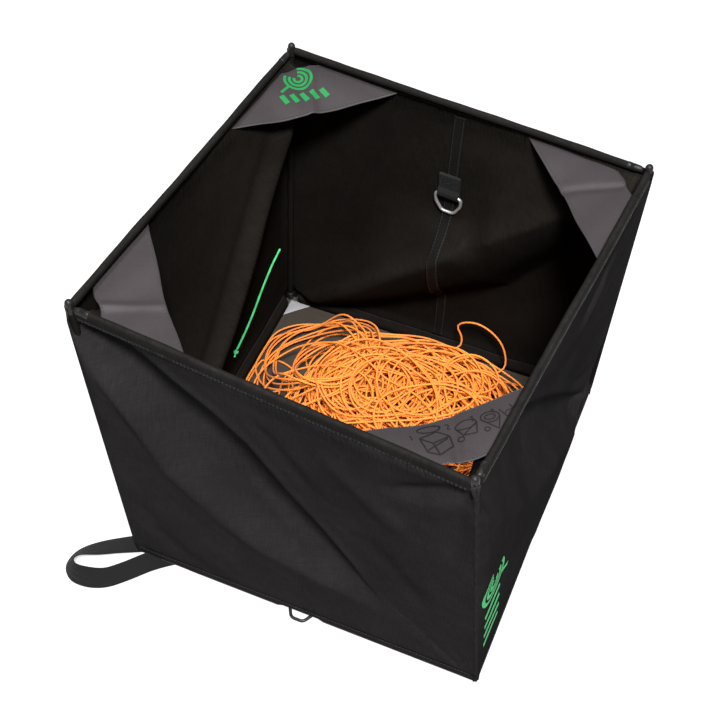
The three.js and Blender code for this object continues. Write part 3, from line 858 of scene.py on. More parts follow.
def closed_section(corners):
    """A closed smooth outline through corners, in (inset, height) millimetres."""
    steps = 4
    corners = [(*corner, 0) for corner in corners]
    wrapped = corners[-2:] + corners + corners[:3]
    curve = curve_through(wrapped, steps)
    return curve[2 * steps:(2 + len(corners)) * steps, :2]


def sweep_section(build, stations, section, place):
    """A closed section swept along a wall's edge; stations are shares of the wall's width, and
    place turns (station's number, section) into points."""
    rings = np.array([place(index, section) for index in range(len(stations))])
    around = run_along(np.vstack([section, section[:1]]))[:-1] * MM
    along = stations * WALL_WIDTH * MM
    uvs = np.stack(np.broadcast_arrays(along[:, None], around[None]), axis=-1)
    build.add(rings, tube_faces(len(stations), len(section)), uvs)


def add_rim_hem(wall, materials):
    start, along, inward = rim_frame(wall)
    swing = np.random.default_rng(60 + WALLS.index(wall)).uniform(0, 6, 4)
    # (inset from the rim's outer plane, drop below its top)
    profile = [(5.2, 1.5), (3.0, 2.3), (1.8, 4.6), (1.5, 8.0), (1.7, 11.5), (2.3, 15.2),
               (3.9, 15.6), (4.8, 12.5), (6.5, 9.6), (8.5, 6.8), (8.4, 4.2), (7.2, 2.4)]
    section = closed_section(profile)
    stations = np.linspace(0.027, 0.993, 190)

    def lean(run):
        return 0.35 * math.sin(run / 41 + swing[3])

    def place(index, outline):
        run = stations[index] * WALL_WIDTH
        taper = 0.72 + 0.28 * float(smooth(min(run - 9, 399 - run), 0, 12))
        centre = np.array([RIM_INSET, 6.0])
        ripple = 1 + 0.035 * math.sin(run / 17 + swing[0]) + 0.025 * math.sin(run / 7.3 + swing[1])
        shape = centre + (outline - centre) * taper * ripple
        pucker = 0.22 * math.sin(run / 2.6 + swing[2]) * smooth(shape[:, 1], 7, 12)
        inset = shape[:, 0] + pucker + lean(run) + corner_round(max(0.0, 398 - run))
        edge = start + along * run * MM
        return edge + inward * (inset * MM)[:, None] - np.array([0, 0, MM]) * shape[:, 1:]

    build = Build()
    sweep_section(build, stations, section, place)
    hem = build.make(f"hem_rim_{wall}", materials["hem"])
    # the hem's top edge is paler: partly wear, partly a painted highlight along the rim
    set_point_attribute(hem, np.tile(0.5 * np.exp(-((section[:, 1] - 1) / 2.2) ** 2), len(stations)))
    belong(hem, f"upper_{wall}", "hem_fabric", f"rim_hem_{wall}")
    seams = Build()
    # two rows outside and one inside: (inset, drop, side that they face)
    for inset, drop, out in ((1.5, 11.6, -1.0), (1.9, 14.2, -1.0), (5.3, 12.0, 1.0)):
        down = np.array([0, 0, drop * MM])
        path = [start + along * run * MM + inward * (inset + lean(run)) * MM - down
                for run in np.linspace(14, 392, 120)]
        add_stitches(seams, path, inward * out)
    rows = seams.make(f"stitches_rim_{wall}", materials["thread"])
    belong(rows, f"upper_{wall}", "hem_fabric")


def face_sides(section, faces):
    """Material numbers for a base hem's faces: 0 on its outer side and 1 on its inner side."""
    inner = section[:, 0] > 3.2
    return [int(inner[face[0] % len(section)] and len(face) == 4) for face in faces]


def lowest_hem(wall, run):
    """The least height of a base hem: it passes over the ring's tab and the handle's ends."""
    low = 0.9
    if wall == "front":
        low += 5.4 * float(smooth(-abs(run - 200), -30, -21))
        low += 1.5 * float(smooth(-run, -66, -50))
    if wall == "left":
        low += 1.5 * float(smooth(run, 334, 350))
    return low


def add_base_hem(wall, materials):
    """The sleeve sewn along the floor's edge, round the floor rod."""
    foot_a, _, foot_b, _ = wall_corners(wall)
    along, inward = unit(foot_b - foot_a), level_inward(foot_a, foot_b)
    # (inset from the wall's plane, height above the ground)
    profile = [(1.9, 17.4), (1.0, 14.0), (0.7, 9.5), (0.9, 5.0), (1.9, 1.7), (4.6, 0.8),
               (7.6, 1.8), (9.5, 4.8), (9.9, 9.4), (8.6, 12.8), (5.6, 15.2), (3.0, 17.2)]
    section = closed_section(profile)
    stations = np.linspace(0.0, 1.0, 200)
    swing = np.random.default_rng(80 + WALLS.index(wall)).uniform(0, 6, 3)

    def place(index, outline):
        run = stations[index] * WALL_WIDTH
        ends = min(run, WALL_WIDTH - run)
        body = 0.06 + 0.94 * float(smooth(ends, 12, 20))
        outer = 0.8 + 0.25 * np.abs(outline[:, 1] - 9.5) / 8
        inset = outer + (outline[:, 0] - outer) * body
        inset = inset + 0.25 * math.sin(run / 13 + swing[0]) * smooth(outline[:, 1], 10, 16)
        inset = inset + corner_round(ends)
        ripple = 0.2 * math.sin(run / 19 + swing[1])
        height = np.maximum(outline[:, 1] + ripple, lowest_hem(wall, run))
        edge = foot_a + along * run * MM
        return edge + inward * (inset * MM)[:, None] + np.array([0, 0, MM]) * height[:, None]

    build = Build()
    sweep_section(build, stations, section, place)
    hem = build.make(f"hem_base_{wall}", materials["outside"], materials["inside"])
    hem.data.polygons.foreach_set("material_index", face_sides(section, build.faces))
    set_point_attribute(hem, np.tile(0.4 * np.exp(-((section[:, 1] - 2) / 2.5) ** 2), len(stations)))
    belong(hem, "floor", "hem_fabric", f"base_hem_{wall}")
    seams = Build()
    path = [foot_a + along * run * MM + inward * 0.75 * MM + np.array([0, 0, 0.0142])
            for run in np.linspace(8, 392, 120)]
    add_stitches(seams, path, -inward)
    rows = seams.make(f"stitches_base_{wall}", materials["thread"])
    belong(rows, "floor", "hem_fabric")


def upright_line(wall):
    """Foot and head of the middle line of the rod at the wall's far end."""
    after = WALLS[(WALLS.index(wall) + 1) % 4]
    here, there = wall_corners(wall), wall_corners(after)
    foot_in = level_inward(here[0], here[2]) + level_inward(there[0], there[2])
    rim_in = level_inward(here[1], here[3]) + level_inward(there[1], there[3])
    return here[2] + foot_in * ROD_INSET * MM, here[3] + rim_in * ROD_INSET * MM


def add_upright(wall, corner, materials):
    """The sleeve round an upright rod, the rubber caps on the rod and the rim rod's end."""
    foot, head = upright_line(wall)
    axis = unit(head - foot)
    length = np.linalg.norm(head - foot)
    runs = np.linspace(0.016, length - 0.012, 150)
    swing = np.random.default_rng(100 + WALLS.index(wall)).uniform(0, 6, 2)
    ripple = 0.00016 * np.sin(runs / 0.0061 + swing[0]) + 0.0001 * np.sin(runs / 0.0023)
    radius = SLEEVE_RADIUS + ripple
    radius = radius * (0.85 + 0.15 * smooth(np.minimum(runs - runs[0], runs[-1] - runs), 0, 0.01))
    build = Build()
    add_tube(build, foot + axis * runs[:, None], radius, sides=16)
    sleeve = build.make(f"sleeve_{corner}", materials["inside"])
    belong(sleeve, f"upper_{wall}", "hem_fabric", f"upright_sleeve_{corner}")
    # (radius, height from the cap's mouth) in millimetres: a mouth ring, a waist and a dome
    top_profile = [(0.0, -1.0), (2.7, -1.0), (3.9, -0.6), (4.3, 0.4), (4.3, 2.0), (3.9, 2.8),
                   (4.0, 9.5), (3.9, 11.6), (3.4, 13.3), (2.4, 14.5), (1.2, 15.1), (0.0, 15.2)]
    add_cap(f"cap_top_{corner}", head - axis * TOP_CAP_MOUTH, axis, top_profile, wall,
            materials, f"top_cap_{corner}")
    foot_profile = [(0.0, -0.5), (2.6, -0.5), (3.8, 0.0), (4.0, 1.0), (3.9, 7.0), (3.7, 8.8),
                    (2.9, 10.0), (1.5, 10.7), (0.0, 10.8)]
    add_cap(f"cap_foot_{corner}", foot + axis * FOOT_CAP_MOUTH, -axis, foot_profile, wall,
            materials, f"foot_cap_{corner}")
    add_rim_ferrule(wall, materials)


def add_cap(name, mouth, axis, profile, wall, materials, *nodes):
    """A rubber cap, turned from its profile round an axis that starts at the cap's mouth."""
    sides = 28
    side = unit(np.cross(axis, (0.3, 1, 0)))
    over = np.cross(axis, side)
    angle = np.linspace(0, 2 * math.pi, sides, endpoint=False)
    around = side * np.cos(angle)[:, None] + over * np.sin(angle)[:, None]
    rings = np.array([mouth + axis * z * MM + around * max(r, 0.02) * MM for r, z in profile])
    build = Build()
    build.add(rings, tube_faces(len(profile), sides), np.zeros((len(profile), sides, 2)))
    cap = build.make(name, materials["cap"])
    rounding = cap.modifiers.new("rounding", "SUBSURF")
    rounding.levels = rounding.render_levels = 1
    belong(cap, f"upper_{wall}", "cap_rubber", *nodes)


def add_rim_ferrule(wall, materials):
    """The rubber end on the start of each rim rod, beside the corner's upright."""
    start, along, inward = rim_frame(wall)
    down = np.array([0, 0, RIM_INSET * MM])
    mouth = start + along * FERRULE_MOUTH + inward * RIM_INSET * MM - down
    profile = [(0.0, -1.0), (3.4, -0.8), (3.8, 0.2), (3.8, 2.2), (3.5, 3.2), (3.55, 9.5),
               (3.4, 12.6), (2.6, 14.6), (1.3, 15.6), (0.0, 15.8)]
    add_cap(f"ferrule_{wall}", mouth, -along, profile, wall, materials)


# ---------------------------------------------------------------- corner flaps and their marks

class Flap:
    """A corner flap's surface. Its places are (sideways, out), in millimetres: out runs from
    the corner along its bisector, and sideways runs towards the wall after the corner."""

    def __init__(self, wall, corner):
        index = WALLS.index(wall)
        after = WALLS[(index + 1) % 4]
        rim_a, rim_b = wall_corners(wall)[1], wall_corners(wall)[3]
        rim_c = wall_corners(after)[3]
        self.corner = corner
        self.tip = np.array([*rim_b[:2], 0.0]) / MM
        self.back = unit(rim_a - rim_b)
        self.on = unit(rim_c - rim_b)
        self.out = unit(self.back + self.on)
        self.side = unit(self.on - self.back)
        self.droop = FLAP_DROOP[corner]
        self.phase = np.random.default_rng(120 + index).uniform(0, 6, 5)

    def at(self, sideways, out, lift=0.0):
        sideways, out = np.broadcast_arrays(np.asarray(sideways, float), np.asarray(out, float))
        leg = out * math.sqrt(2)
        cut = FLAP_CUT[self.corner]
        r = np.clip((leg - cut) / (FLAP_LEG - cut), -0.1, 1.1)
        q = np.clip(sideways / np.maximum(out, 1), -1, 1)
        middle = np.cos(q * math.pi / 2)
        drop = self.droop * middle ** 0.8 * np.clip(r, 0, 1) ** 1.6
        loose = middle * (0.3 + 0.7 * np.clip(r, 0, 1))
        wave = 1.6 * np.sin(sideways / 21 + self.phase[0]) * loose
        wave = wave + 0.8 * np.sin(sideways / 9 + out / 15 + self.phase[1]) * middle
        from_fold = sideways - 14 * math.cos(self.phase[2]) - 0.25 * (out - 50)
        fold = 2.2 * np.exp(-(from_fold / 4.5) ** 2)
        height = FLAP_LIFT - drop + wave + fold * middle * np.sign(math.sin(self.phase[3]))
        place = self.tip + self.out * out[..., None] + self.side * sideways[..., None]
        place[..., 2] = height + lift / MM
        return place * MM

    def grid(self):
        """Places of the flap's points: r runs out from the corner, and q from side to side."""
        r = np.linspace(0, 1, 34)[:, None]
        q = np.linspace(-1, 1, 56)[None]
        bow = np.cos(q * math.pi / 2)
        near = FLAP_CUT[self.corner] / math.sqrt(2) + 1.8 * bow * np.sin(4 * q + self.phase[4])
        far = FLAP_LEG / math.sqrt(2) - 3.0 * bow + 1.2 * np.sin(5 * q + self.phase[0]) * bow
        out = near + (far - near) * r
        sideways = q * (out - 4.4 * math.sqrt(2) + 2.0)
        return sideways, out


def add_flap(wall, corner, materials):
    flap = Flap(wall, corner)
    sideways, out = flap.grid()
    points = flap.at(sideways, out)
    build = Build()
    faces = grid_faces(*points.shape[:2])
    build.add(points, faces, np.stack([sideways, out], axis=-1) * MM)
    cloth = build.make(f"flap_{corner}", materials["flap"])
    edge = np.zeros(points.shape[:2])
    edge[-1] = 0.5
    edge[0] = 0.4
    set_point_attribute(cloth, edge)
    thicken(cloth, FLAP_CLOTH)
    belong(cloth, f"flap_{corner}", "flap_fabric", f"corner_flap_{corner}")
    rows = Build()
    for share in (0.035, 0.955):  # beside the corner's edge, and beside the free one
        at = sideways[0] * (1 - share) + sideways[-1] * share
        to = out[0] * (1 - share) + out[-1] * share
        add_stitches(rows, flap.at(at, to, 0.0001), (0, 0, 1))
    seams = rows.make(f"stitches_flap_{corner}", materials["thread"])
    belong(seams, f"flap_{corner}", "flap_fabric")
    return flap


def add_stroke(build, points, width, place):
    """A flat ribbon along a drawn line; place turns the drawing's points into real ones."""
    points = np.asarray(points, float)
    dense = respaced(np.column_stack([points, np.zeros(len(points))]), 0.9)[:, :2]
    ahead = unit(np.gradient(dense, axis=0))
    side = np.column_stack([-ahead[:, 1], ahead[:, 0]]) * width / 2
    rows = np.stack([dense - side, dense, dense + side], axis=1)
    build.add(place(rows[..., 0], rows[..., 1]), grid_faces(len(dense), 3), rows * MM)


def arc(x, y, radius, start, end, squash=1.0):
    angle = np.radians(np.linspace(start, end, 28))
    return [(x + radius * math.cos(a), y + radius * squash * math.sin(a)) for a in angle]


DIGITS = {
    1: [(-0.4, 0.6), (0, 1), (0, -1)],
    2: [(-0.6, 0.6), (-0.2, 1), (0.4, 0.9), (0.6, 0.4), (-0.6, -1), (0.7, -1)],
    3: [(-0.6, 1), (0.6, 1), (0, 0.2), (0.6, -0.2), (0.5, -0.8), (-0.1, -1), (-0.6, -0.8)],
    4: [(0.4, -1), (0.4, 1), (-0.7, -0.3), (0.8, -0.3)],
}


def step_pictures():
    """Line drawings of the four folding steps, as (strokes, number, x, y, size)."""
    open_box = [
        [(-9, 5), (4, 9), (11, 2), (-2, -2), (-9, 5)], [(-9, 5), (-8, -9), (-1, -14), (-2, -2)],
        [(-1, -14), (10, -8), (11, 2)], [(-8, -8), (9, 0)], arc(0, 13, 8, 0, 360, 0.42),
        [(3, 16), (8, 14), (6, 10)],
    ]
    turned_box = [
        arc(0, 4, 9, 0, 360, 0.55), [(-9, 4), (-6, -7), (5, -9), (9, 3)], [(-6, -7), (9, 3)],
        arc(-9, -10, 2.6, 0, 360), [(-7, -8), (-2, -4)],
    ]
    closed_bag = [
        arc(0, 5, 8, 0, 360, 0.8), arc(0, 5, 4.5, 0, 360, 0.7), [(-8, 4), (2, -11), (8, 3)],
        arc(-7, -8, 2.2, 0, 360),
    ]
    flat_disc = [
        arc(0, 0, 5, 0, 360, 0.9), [(-5, 0), (-8, 9)], [(5, 0), (3, 11)], [(-3, -4), (-4, -8)],
    ]
    return [(open_box, 1, -13, 10, 1.25), (turned_box, 2, 17, 15, 1.0),
            (closed_bag, 3, 38, 14, 1.0), (flat_disc, 4, 55, 16, 0.9)]


def add_step_marks(flap, body, materials):
    build = Build()
    middle, ink = 60.0, 0.00035

    def drawn(cx, cy, size):
        return lambda x, y: flap.at(cx + x * size, middle + cy + y * size, ink)

    for strokes, number, x, y, size in step_pictures():
        place = drawn(x, y - 6, size)
        for stroke in strokes:
            add_stroke(build, stroke, 1.15, place)
        place = drawn(x - 14 * size, y + 3, 1.0)
        add_stroke(build, [(2.2 * a, 3.0 * b) for a, b in DIGITS[number]], 1.0, place)
    marks = build.make("mark_steps", materials["black_ink"])
    belong(marks, body, "flap_fabric")


def coil_mark(build, place, size, stacked=False):
    """A made-up sign: a coil of line, with slanting bars in a row under it or stacked."""
    for radius in (0.95, 0.62, 0.29):
        ring = [(x * size, (y + 1.5) * size) for x, y in arc(0, 0, radius, 100, 395)]
        add_stroke(build, ring, 0.2 * size, place)
    add_stroke(build, [(0.75 * size, 1.0 * size), (1.5 * size, 0.45 * size)], 0.2 * size, place)
    for index in range(4 if stacked else 5):
        if stacked:
            y = -0.15 - 0.85 * index
            bar = [(-0.75, y - 0.14), (0.75, y + 0.14)]
        else:
            x = 0.72 * (index - 2)
            bar = [(x - 0.14, -0.6), (x + 0.14, 0.15)]
        add_stroke(build, [(x * size, y * size) for x, y in bar], 0.38 * size, place)


def add_coil_marks(flap, right_sheet, materials):
    def level(x, y):
        return flap.at(x + 3, 63 - y, 0.0004)

    def upright(x, y):
        ink = np.full(np.shape(x), 0.0006)
        return right_sheet.at((33 + x) / WALL_WIDTH, (138 + y) / WALL_HEIGHT, ink)

    build = Build()
    coil_mark(build, level, 14.5)
    mark = build.make("mark_flap", materials["green_ink"])
    belong(mark, "flap_back_left", "flap_fabric")
    build = Build()
    coil_mark(build, upright, 25.0, stacked=True)
    mark = build.make("mark_wall", materials["bright_ink"])
    belong(mark, "lower_right", "shell_fabric")


# ---------------------------------------------------------------- floor

def floor_height(x, y, edge):
    """The floor cloth's height in millimetres: turned up at its edges, lifted over the ring's
    tab and the handle's ends, with a few shallow folds."""
    tab = smooth(-np.abs(x), -30, -17) * smooth(-y, 146, 160)
    corner = smooth(-(x + y), 318, 334)
    height = 0.9 + 1.5 * (1 - smooth(edge, 0, 8))
    height = np.maximum(height, 8.6 * tab)
    height = np.maximum(height, 2.9 * corner)
    rng = np.random.default_rng(150)
    for _ in range(9):
        cx, cy, turn = rng.uniform(-150, 150), rng.uniform(-150, 150), rng.uniform(0, 3)
        across = (x - cx) * math.cos(turn) + (y - cy) * math.sin(turn)
        along = (y - cy) * math.cos(turn) - (x - cx) * math.sin(turn)
        fold = np.exp(-(across / 9) ** 2 - (along / 60) ** 2)
        height = height + 0.45 * fold * smooth(edge, 0, 20)
    return height


def add_floor_facing(materials):
    """A pale facing sewn into the back left corner of the floor."""
    share = np.linspace(0, 1, 14)
    a, b = np.meshgrid(share, share)
    x = -192 + 27 * a * (1 - b)
    y = 192 - 27 * b
    lift = 3.0 + 0.9 * np.sin(a * 3) * np.sin(b * 3)
    faces = [face[::-1] for face in grid_faces(14, 14)]
    build = Build()
    build.add(np.stack([x, y, lift], axis=-1) * MM, faces, np.stack([x, y], axis=-1) * MM)
    facing = build.make("floor_corner", materials["patch"])
    thicken(facing, FLAP_CLOTH)
    belong(facing, "floor", "floor_fabric")
    return facing


def add_floor(materials):
    """The floor cloth, its facing, and stitching along every side but the front."""
    half = FLOOR_HALF
    side = np.concatenate([np.linspace(-half, -half + 9, 5), np.linspace(-half + 14, half - 14, 90),
                           np.linspace(half - 9, half, 5)])
    x, y = np.meshgrid(side, side)
    edge = np.minimum(half - np.abs(x), half - np.abs(y))
    points = np.stack([x, y, floor_height(x, y, edge)], axis=-1) * MM
    build = Build()
    build.add(points, grid_faces(*x.shape), np.stack([x, y], axis=-1) * MM)
    cloth = build.make("floor_cloth", materials["floor"], materials["outside"])
    set_point_attribute(cloth, 0.3 * (1 - smooth(edge, 0, 12)))
    thicken(cloth, FLOOR_CLOTH, inner_material=1)
    belong(cloth, "floor", "floor_fabric", "floor_panel")
    facing = add_floor_facing(materials)
    seams = Build()
    run = np.linspace(-SEAM_INSET, SEAM_INSET, 120)
    level = np.full_like(run, 1.15)
    last = np.full_like(run, SEAM_INSET)
    for x_line, y_line in ((run, last), (-last, run), (last, run)):
        add_stitches(seams, np.stack([x_line, y_line, level], axis=-1) * MM, (0, 0, 1))
    rows = seams.make("stitches_floor", materials["thread"])
    belong(rows, "floor", "floor_fabric")


# ---------------------------------------------------------------- rings, tabs, seam tape, handle

def add_ring(name, node, body, joint, hang, material_name, slot, materials):
    """An angular D-ring; its bar lies along the joint's axis, and hang points to its far side."""
    place = np.array(JOINTS[joint]["pos_m"])
    axis, hang = unit(JOINTS[joint]["axis"]), unit(hang)
    corners = [(-14.7, 0), (14.7, 0), (14.7, 10.6), (7.1, 24.2), (-7.1, 24.2), (-14.7, 10.6)]
    path = [place + axis * x * MM + hang * y * MM for x, y in corners]
    build = Build()
    add_closed_tube(build, rounded_path(path, RING_CORNER_RADIUS, 6), RING_WIRE_RADIUS, 12)
    ring = build.make(name, materials[material_name])
    belong(ring, body, slot, node)


def box_stitches(build, middle, across, along, normal, width, height):
    """The square and cross that hold a tab down."""
    corners = [middle + across * x * width / 2 + along * y * height / 2
               for x, y in ((-1, -1), (1, -1), (1, 1), (-1, 1), (-1, -1))]
    for start, end in zip(corners, corners[1:]):
        add_stitches(build, [start, end], normal)
    add_stitches(build, [corners[0], corners[2]], normal)
    add_stitches(build, [corners[1], corners[3]], normal)


def add_tab(name, node, body, joint, tail_way, away, tail, materials):
    """Webbing folded round a ring's bar, both layers sewn down behind it."""
    place = np.array(JOINTS[joint]["pos_m"])
    axis = unit(JOINTS[joint]["axis"])
    tail_way, away = unit(tail_way), unit(away)
    turn = 0.0027
    angles = np.radians(np.linspace(0, 180, 12))
    wrap = [place + away * math.cos(a) * turn - tail_way * math.sin(a) * turn for a in angles]
    top, under = wrap[0], wrap[-1]
    pinch = under + away * 0.0017
    upper = [top + (pinch - top) * share + tail_way * (0.004 + 0.005 * share)
             for share in np.linspace(0, 1, 5)]
    upper = [top + tail_way * 0.002] + upper
    end_upper = pinch + tail_way * tail
    end_under = under + tail_way * tail
    route = [end_upper] + upper[::-1] + wrap + [under + tail_way * 0.004, end_under]
    build = Build()
    add_strap(build, respaced(route, 0.0013), axis, TAB_WIDTH, WEBBING_THICKNESS)
    tab = build.make(name, materials["webbing"])
    belong(tab, body, "webbing", node)
    seams = Build()
    middle = (end_upper + pinch + tail_way * 0.009) / 2 + away * 0.0008
    box_stitches(seams, middle, axis, tail_way, away, 0.019, tail - 0.014)
    rows = seams.make(f"stitches_{name}", materials["thread"])
    belong(rows, body, "webbing")


def add_seam_tape(sheet, materials):
    """The tape over the middle seam on the back wall's inside."""
    half = 0.0155

    def seam(t):
        return 0.495 + 0.01 * t

    t = np.linspace(0.045, 0.95, 150)[:, None]
    across = np.linspace(-half, half, 7)[None]
    edge = np.exp(-((np.abs(across) - half) / 0.002) ** 2)
    lift = -(CLOTH + 0.0005 + 0.0003 * edge * np.sin(t * 400))
    points = sheet.at(seam(t) + across, t, lift)
    build = Build()
    uvs = np.stack(np.broadcast_arrays(across * 0.4, t * 0.396), axis=-1)
    build.add(points, grid_faces(*points.shape[:2]), uvs)
    tape = build.make("seam_tape", materials["hem"])
    set_point_attribute(tape, np.broadcast_to(0.5 * edge, points.shape[:2]))
    start, end = sheet.fold_line()
    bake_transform(tape)
    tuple(start)
    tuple(end)
    thicken(tape, TAPE_CLOTH)
    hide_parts("seam_strip_lower", "seam_strip_upper")
    seams = Build()
    run = np.linspace(0.05, 0.945, 240)
    for offset in (-0.012, 0.012):
        line = sheet.at(seam(run) + offset, run, np.full(run.shape, -(CLOTH + 0.001)))
        add_stitches(seams, line, wall_inward("back"))
    rows = seams.make("stitches_seam_tape", materials["thread"])
    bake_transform(rows)
    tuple(start)
    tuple(end)


def add_handle(materials):
    """The webbing loop on the ground, tilted up on its edge along its far side."""
    flat = respaced(curve_through([(x, y, 0) for x, y in HANDLE_ROUTE], 12) * MM, 0.0025)
    share = np.linspace(0, 1, len(flat))
    tilt = math.radians(12) + math.radians(46) * np.exp(-((share - 0.42) / 0.13) ** 2)
    tilt = tilt * smooth(np.minimum(share, 1 - share), 0.02, 0.2)
    level = np.cross((0, 0, 1), tangents(flat))
    across = level * np.cos(tilt)[:, None] + np.array([0, 0, 1]) * np.sin(tilt)[:, None]
    centres = flat.copy()
    centres[:, 2] = 0.0011 + np.abs(np.sin(tilt)) * HANDLE_WIDTH / 2
    build = Build()
    add_strap(build, centres, across, HANDLE_WIDTH, WEBBING_THICKNESS)
    strap = build.make("handle_strap", materials["webbing"])
    half_round = [0.5] + [0.0] * 5 + [0.5]  # worn at the strap's two edges
    set_point_attribute(strap, np.tile(half_round * 2, len(flat)))
    pivot = np.array(JOINTS["handle_swing"]["pos_m"])
    outward = unit(np.array([-1.0, -1.0, 0]))
    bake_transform(strap)
    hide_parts("handle_loop", "handle_end_left", "handle_end_front")


# ---------------------------------------------------------------- cords

def heap_place(x, y):
    """0 at the heap's middle and 1 at its edge."""
    return np.hypot((x - HEAP_MIDDLE[0]) / HEAP_RADII[0], (y - HEAP_MIDDLE[1]) / HEAP_RADII[1])


def heap_height(x, y):
    """The heap's outer surface above the ground, in millimetres."""
    place = np.clip(heap_place(x, y), 0, 1)
    bumps = 4.0 * np.sin(x / 31 + 1) * np.cos(y / 26) + 2.5 * np.sin(x / 14 + y / 17)
    return 6 + (HEAP_TOP - 6) * (1 - place ** 2.4) ** 0.62 + bumps * (1 - place ** 2)


def pick_arc(rng, place, heading, bend, choices):
    """A run of line whose bend eases into one picked from the choices, each of which is
    (share, smallest radius, largest radius, share that turns left)."""
    pick = rng.uniform()
    for share, small, large, lefts in choices:
        if pick < share:
            break
        pick -= share
    target = (1 if rng.uniform() < lefts else -1) / rng.uniform(small, large)
    steps = int(rng.uniform(60, 210) / LAP_STEP)
    bends = bend + (target - bend) * np.clip(np.arange(1, steps + 1) * LAP_STEP / 40, 0, 1)
    headings = heading + np.cumsum(bends) * LAP_STEP
    xs = place[0] + np.cumsum(np.cos(headings)) * LAP_STEP
    ys = place[1] + np.cumsum(np.sin(headings)) * LAP_STEP
    return xs, ys, headings, bends


def wander(rng, length, start, heading, middle, radii, choices, covered):
    """Laps of line flaked down inside an ellipse: arcs that seek the places least covered."""
    cell = 3.0
    place, bend = np.array(start, float), 1 / 90
    path = []
    laid = 0.0
    while laid < length:
        limit = 1.0 - 0.1 * laid / length
        best = None
        for _ in range(18):
            xs, ys, headings, bends = pick_arc(rng, place, heading, bend, choices)
            outside = np.hypot((xs - middle[0]) / radii[0], (ys - middle[1]) / radii[1]) - limit
            ahead = np.array([40.0, 90.0])
            far_x = xs[-1] + ahead * math.cos(headings[-1])
            far_y = ys[-1] + ahead * math.sin(headings[-1])
            next_out = np.hypot((far_x - middle[0]) / radii[0], (far_y - middle[1]) / radii[1])
            column = np.clip((xs / cell + 80).astype(int), 1, LAP_CELLS - 2)
            row = np.clip((ys / cell + 60).astype(int), 1, LAP_CELLS - 2)
            score = np.exp(-0.8 * covered[row, column]).mean() + rng.uniform(0, 0.25)
            score += 0.25 * np.abs(np.cos(headings)).mean()  # laps lie mostly along the heap
            score -= 12 * np.maximum(outside, 0).mean() + 8 * max(outside.max(), 0)
            score -= 2.5 * np.maximum(next_out - limit, 0).sum()
            if best is None or score > best[0]:
                best = (score, xs, ys, headings[-1], bends[-1], row, column)
        _, xs, ys, heading, bend, row, column = best
        place = np.array([xs[-1], ys[-1]])
        path.append(np.stack([xs, ys], axis=1))
        laid += len(xs) * LAP_STEP
        covered *= 0.992
        covered[row, column] += 1
        for shift in (-1, 1):
            covered[row + shift, column] += 0.6
            covered[row, column + shift] += 0.6
    return np.concatenate(path)


# The loop that stands up at the back, from its foot in the heap to where it lies down again.
STANDING_LOOP = [
    (60, 120, 46), (84, 152, 34), (97, 172, 27), (96, 180, 40), (88, 184, 58), (74, 186, 71),
    (58, 187, 77), (44, 186, 76), (33, 184, 70), (31, 183, 66), (36, 181, 61), (41, 179, 52),
    (40, 174, 42), (28, 166, 38), (4, 152, 42), (-30, 140, 50),
]


def settled(flat, base, rng):
    """Heights for laps laid one after another, each lying on those below it."""
    radius = LINE_DIAMETER / MM / 2
    cell, cells = 1.5, 340
    top = np.full((cells, cells), HEAP_FLOOR)
    count = len(flat)
    knots = np.linspace(0, count, max(4, count // 34))
    drift = np.interp(np.arange(count), knots, rng.normal(0, 2.6, len(knots)))
    heights = np.maximum(base + drift, HEAP_FLOOR + radius)
    chunk = 30
    for start in range(0, count, chunk):
        end = min(count, start + chunk)
        rows = np.clip((flat[start:end, 1] / cell + 150).astype(int), 3, cells - 4)
        columns = np.clip((flat[start:end, 0] / cell + 170).astype(int), 3, cells - 4)
        below = np.full(end - start, HEAP_FLOOR)
        for dy in (-1, 0, 1):
            for dx in (-1, 0, 1):
                below = np.maximum(below, top[rows + dy, columns + dx])
        need = np.maximum(heights[start:end], below + radius)
        if start:
            need[0] = max(need[0], heights[start - 1] - 1)
        spread = need.copy()
        for shift in (1, 2):
            spread[shift:] = np.maximum(spread[shift:], need[:-shift] - 0.9 * shift)
            spread[:-shift] = np.maximum(spread[:-shift], need[shift:] - 0.9 * shift)
        heights[start:end] = spread
        for dy in range(-1, 2):
            for dx in range(-1, 2):
                target = spread + (radius if dx == 0 and dy == 0 else radius * 0.5)
                np.maximum.at(top, (rows + dy, columns + dx), target)
    kernel = np.array([1, 3, 5, 6, 5, 3, 1], float)
    kernel = kernel / kernel.sum()
    padded = np.concatenate([[heights[0]] * 3, heights, [heights[-1]] * 3])
    return np.convolve(padded, kernel, "valid")


def laps_from_above(rng):
    """The heap's laps in plan, and how many of their points are the lower ones: most of the
    heap first, then wide loops that spill out of its left end, then more laps over them."""
    covered = np.zeros((LAP_CELLS, LAP_CELLS))
    mixed_bends = [(0.66, 70, 160, 0.86), (0.12, 32, 60, 0.7), (0.22, 200, 600, 0.5)]
    wide_bends = [(0.8, 62, 88, 1.0), (0.2, 90, 160, 1.0)]
    under = wander(rng, LOWER_LAPS, (110, 60), 1.7, HEAP_MIDDLE, HEAP_RADII, mixed_bends,
                   covered)
    covered *= 0
    wide = wander(rng, WIDE_LAPS, (-45, 60), 1.2, (-106, 104), (84, 82), wide_bends, covered)
    over = wander(rng, UPPER_LAPS, (50, 30), 0.3, HEAP_MIDDLE + (6, -8), HEAP_RADII * 0.9,
                  mixed_bends, covered)
    runs = [under, bridge(under, wide, 24), wide, bridge(wide, over, 24), over]
    return np.concatenate(runs), len(under)


def evened(path):
    """The path with every point averaged with its neighbours."""
    path = path.copy()
    kernel = np.array([1, 2, 3, 2, 1], float) / 9
    for axis in range(3):
        path[2:-2, axis] = np.convolve(path[:, axis], kernel, "valid")
    return path


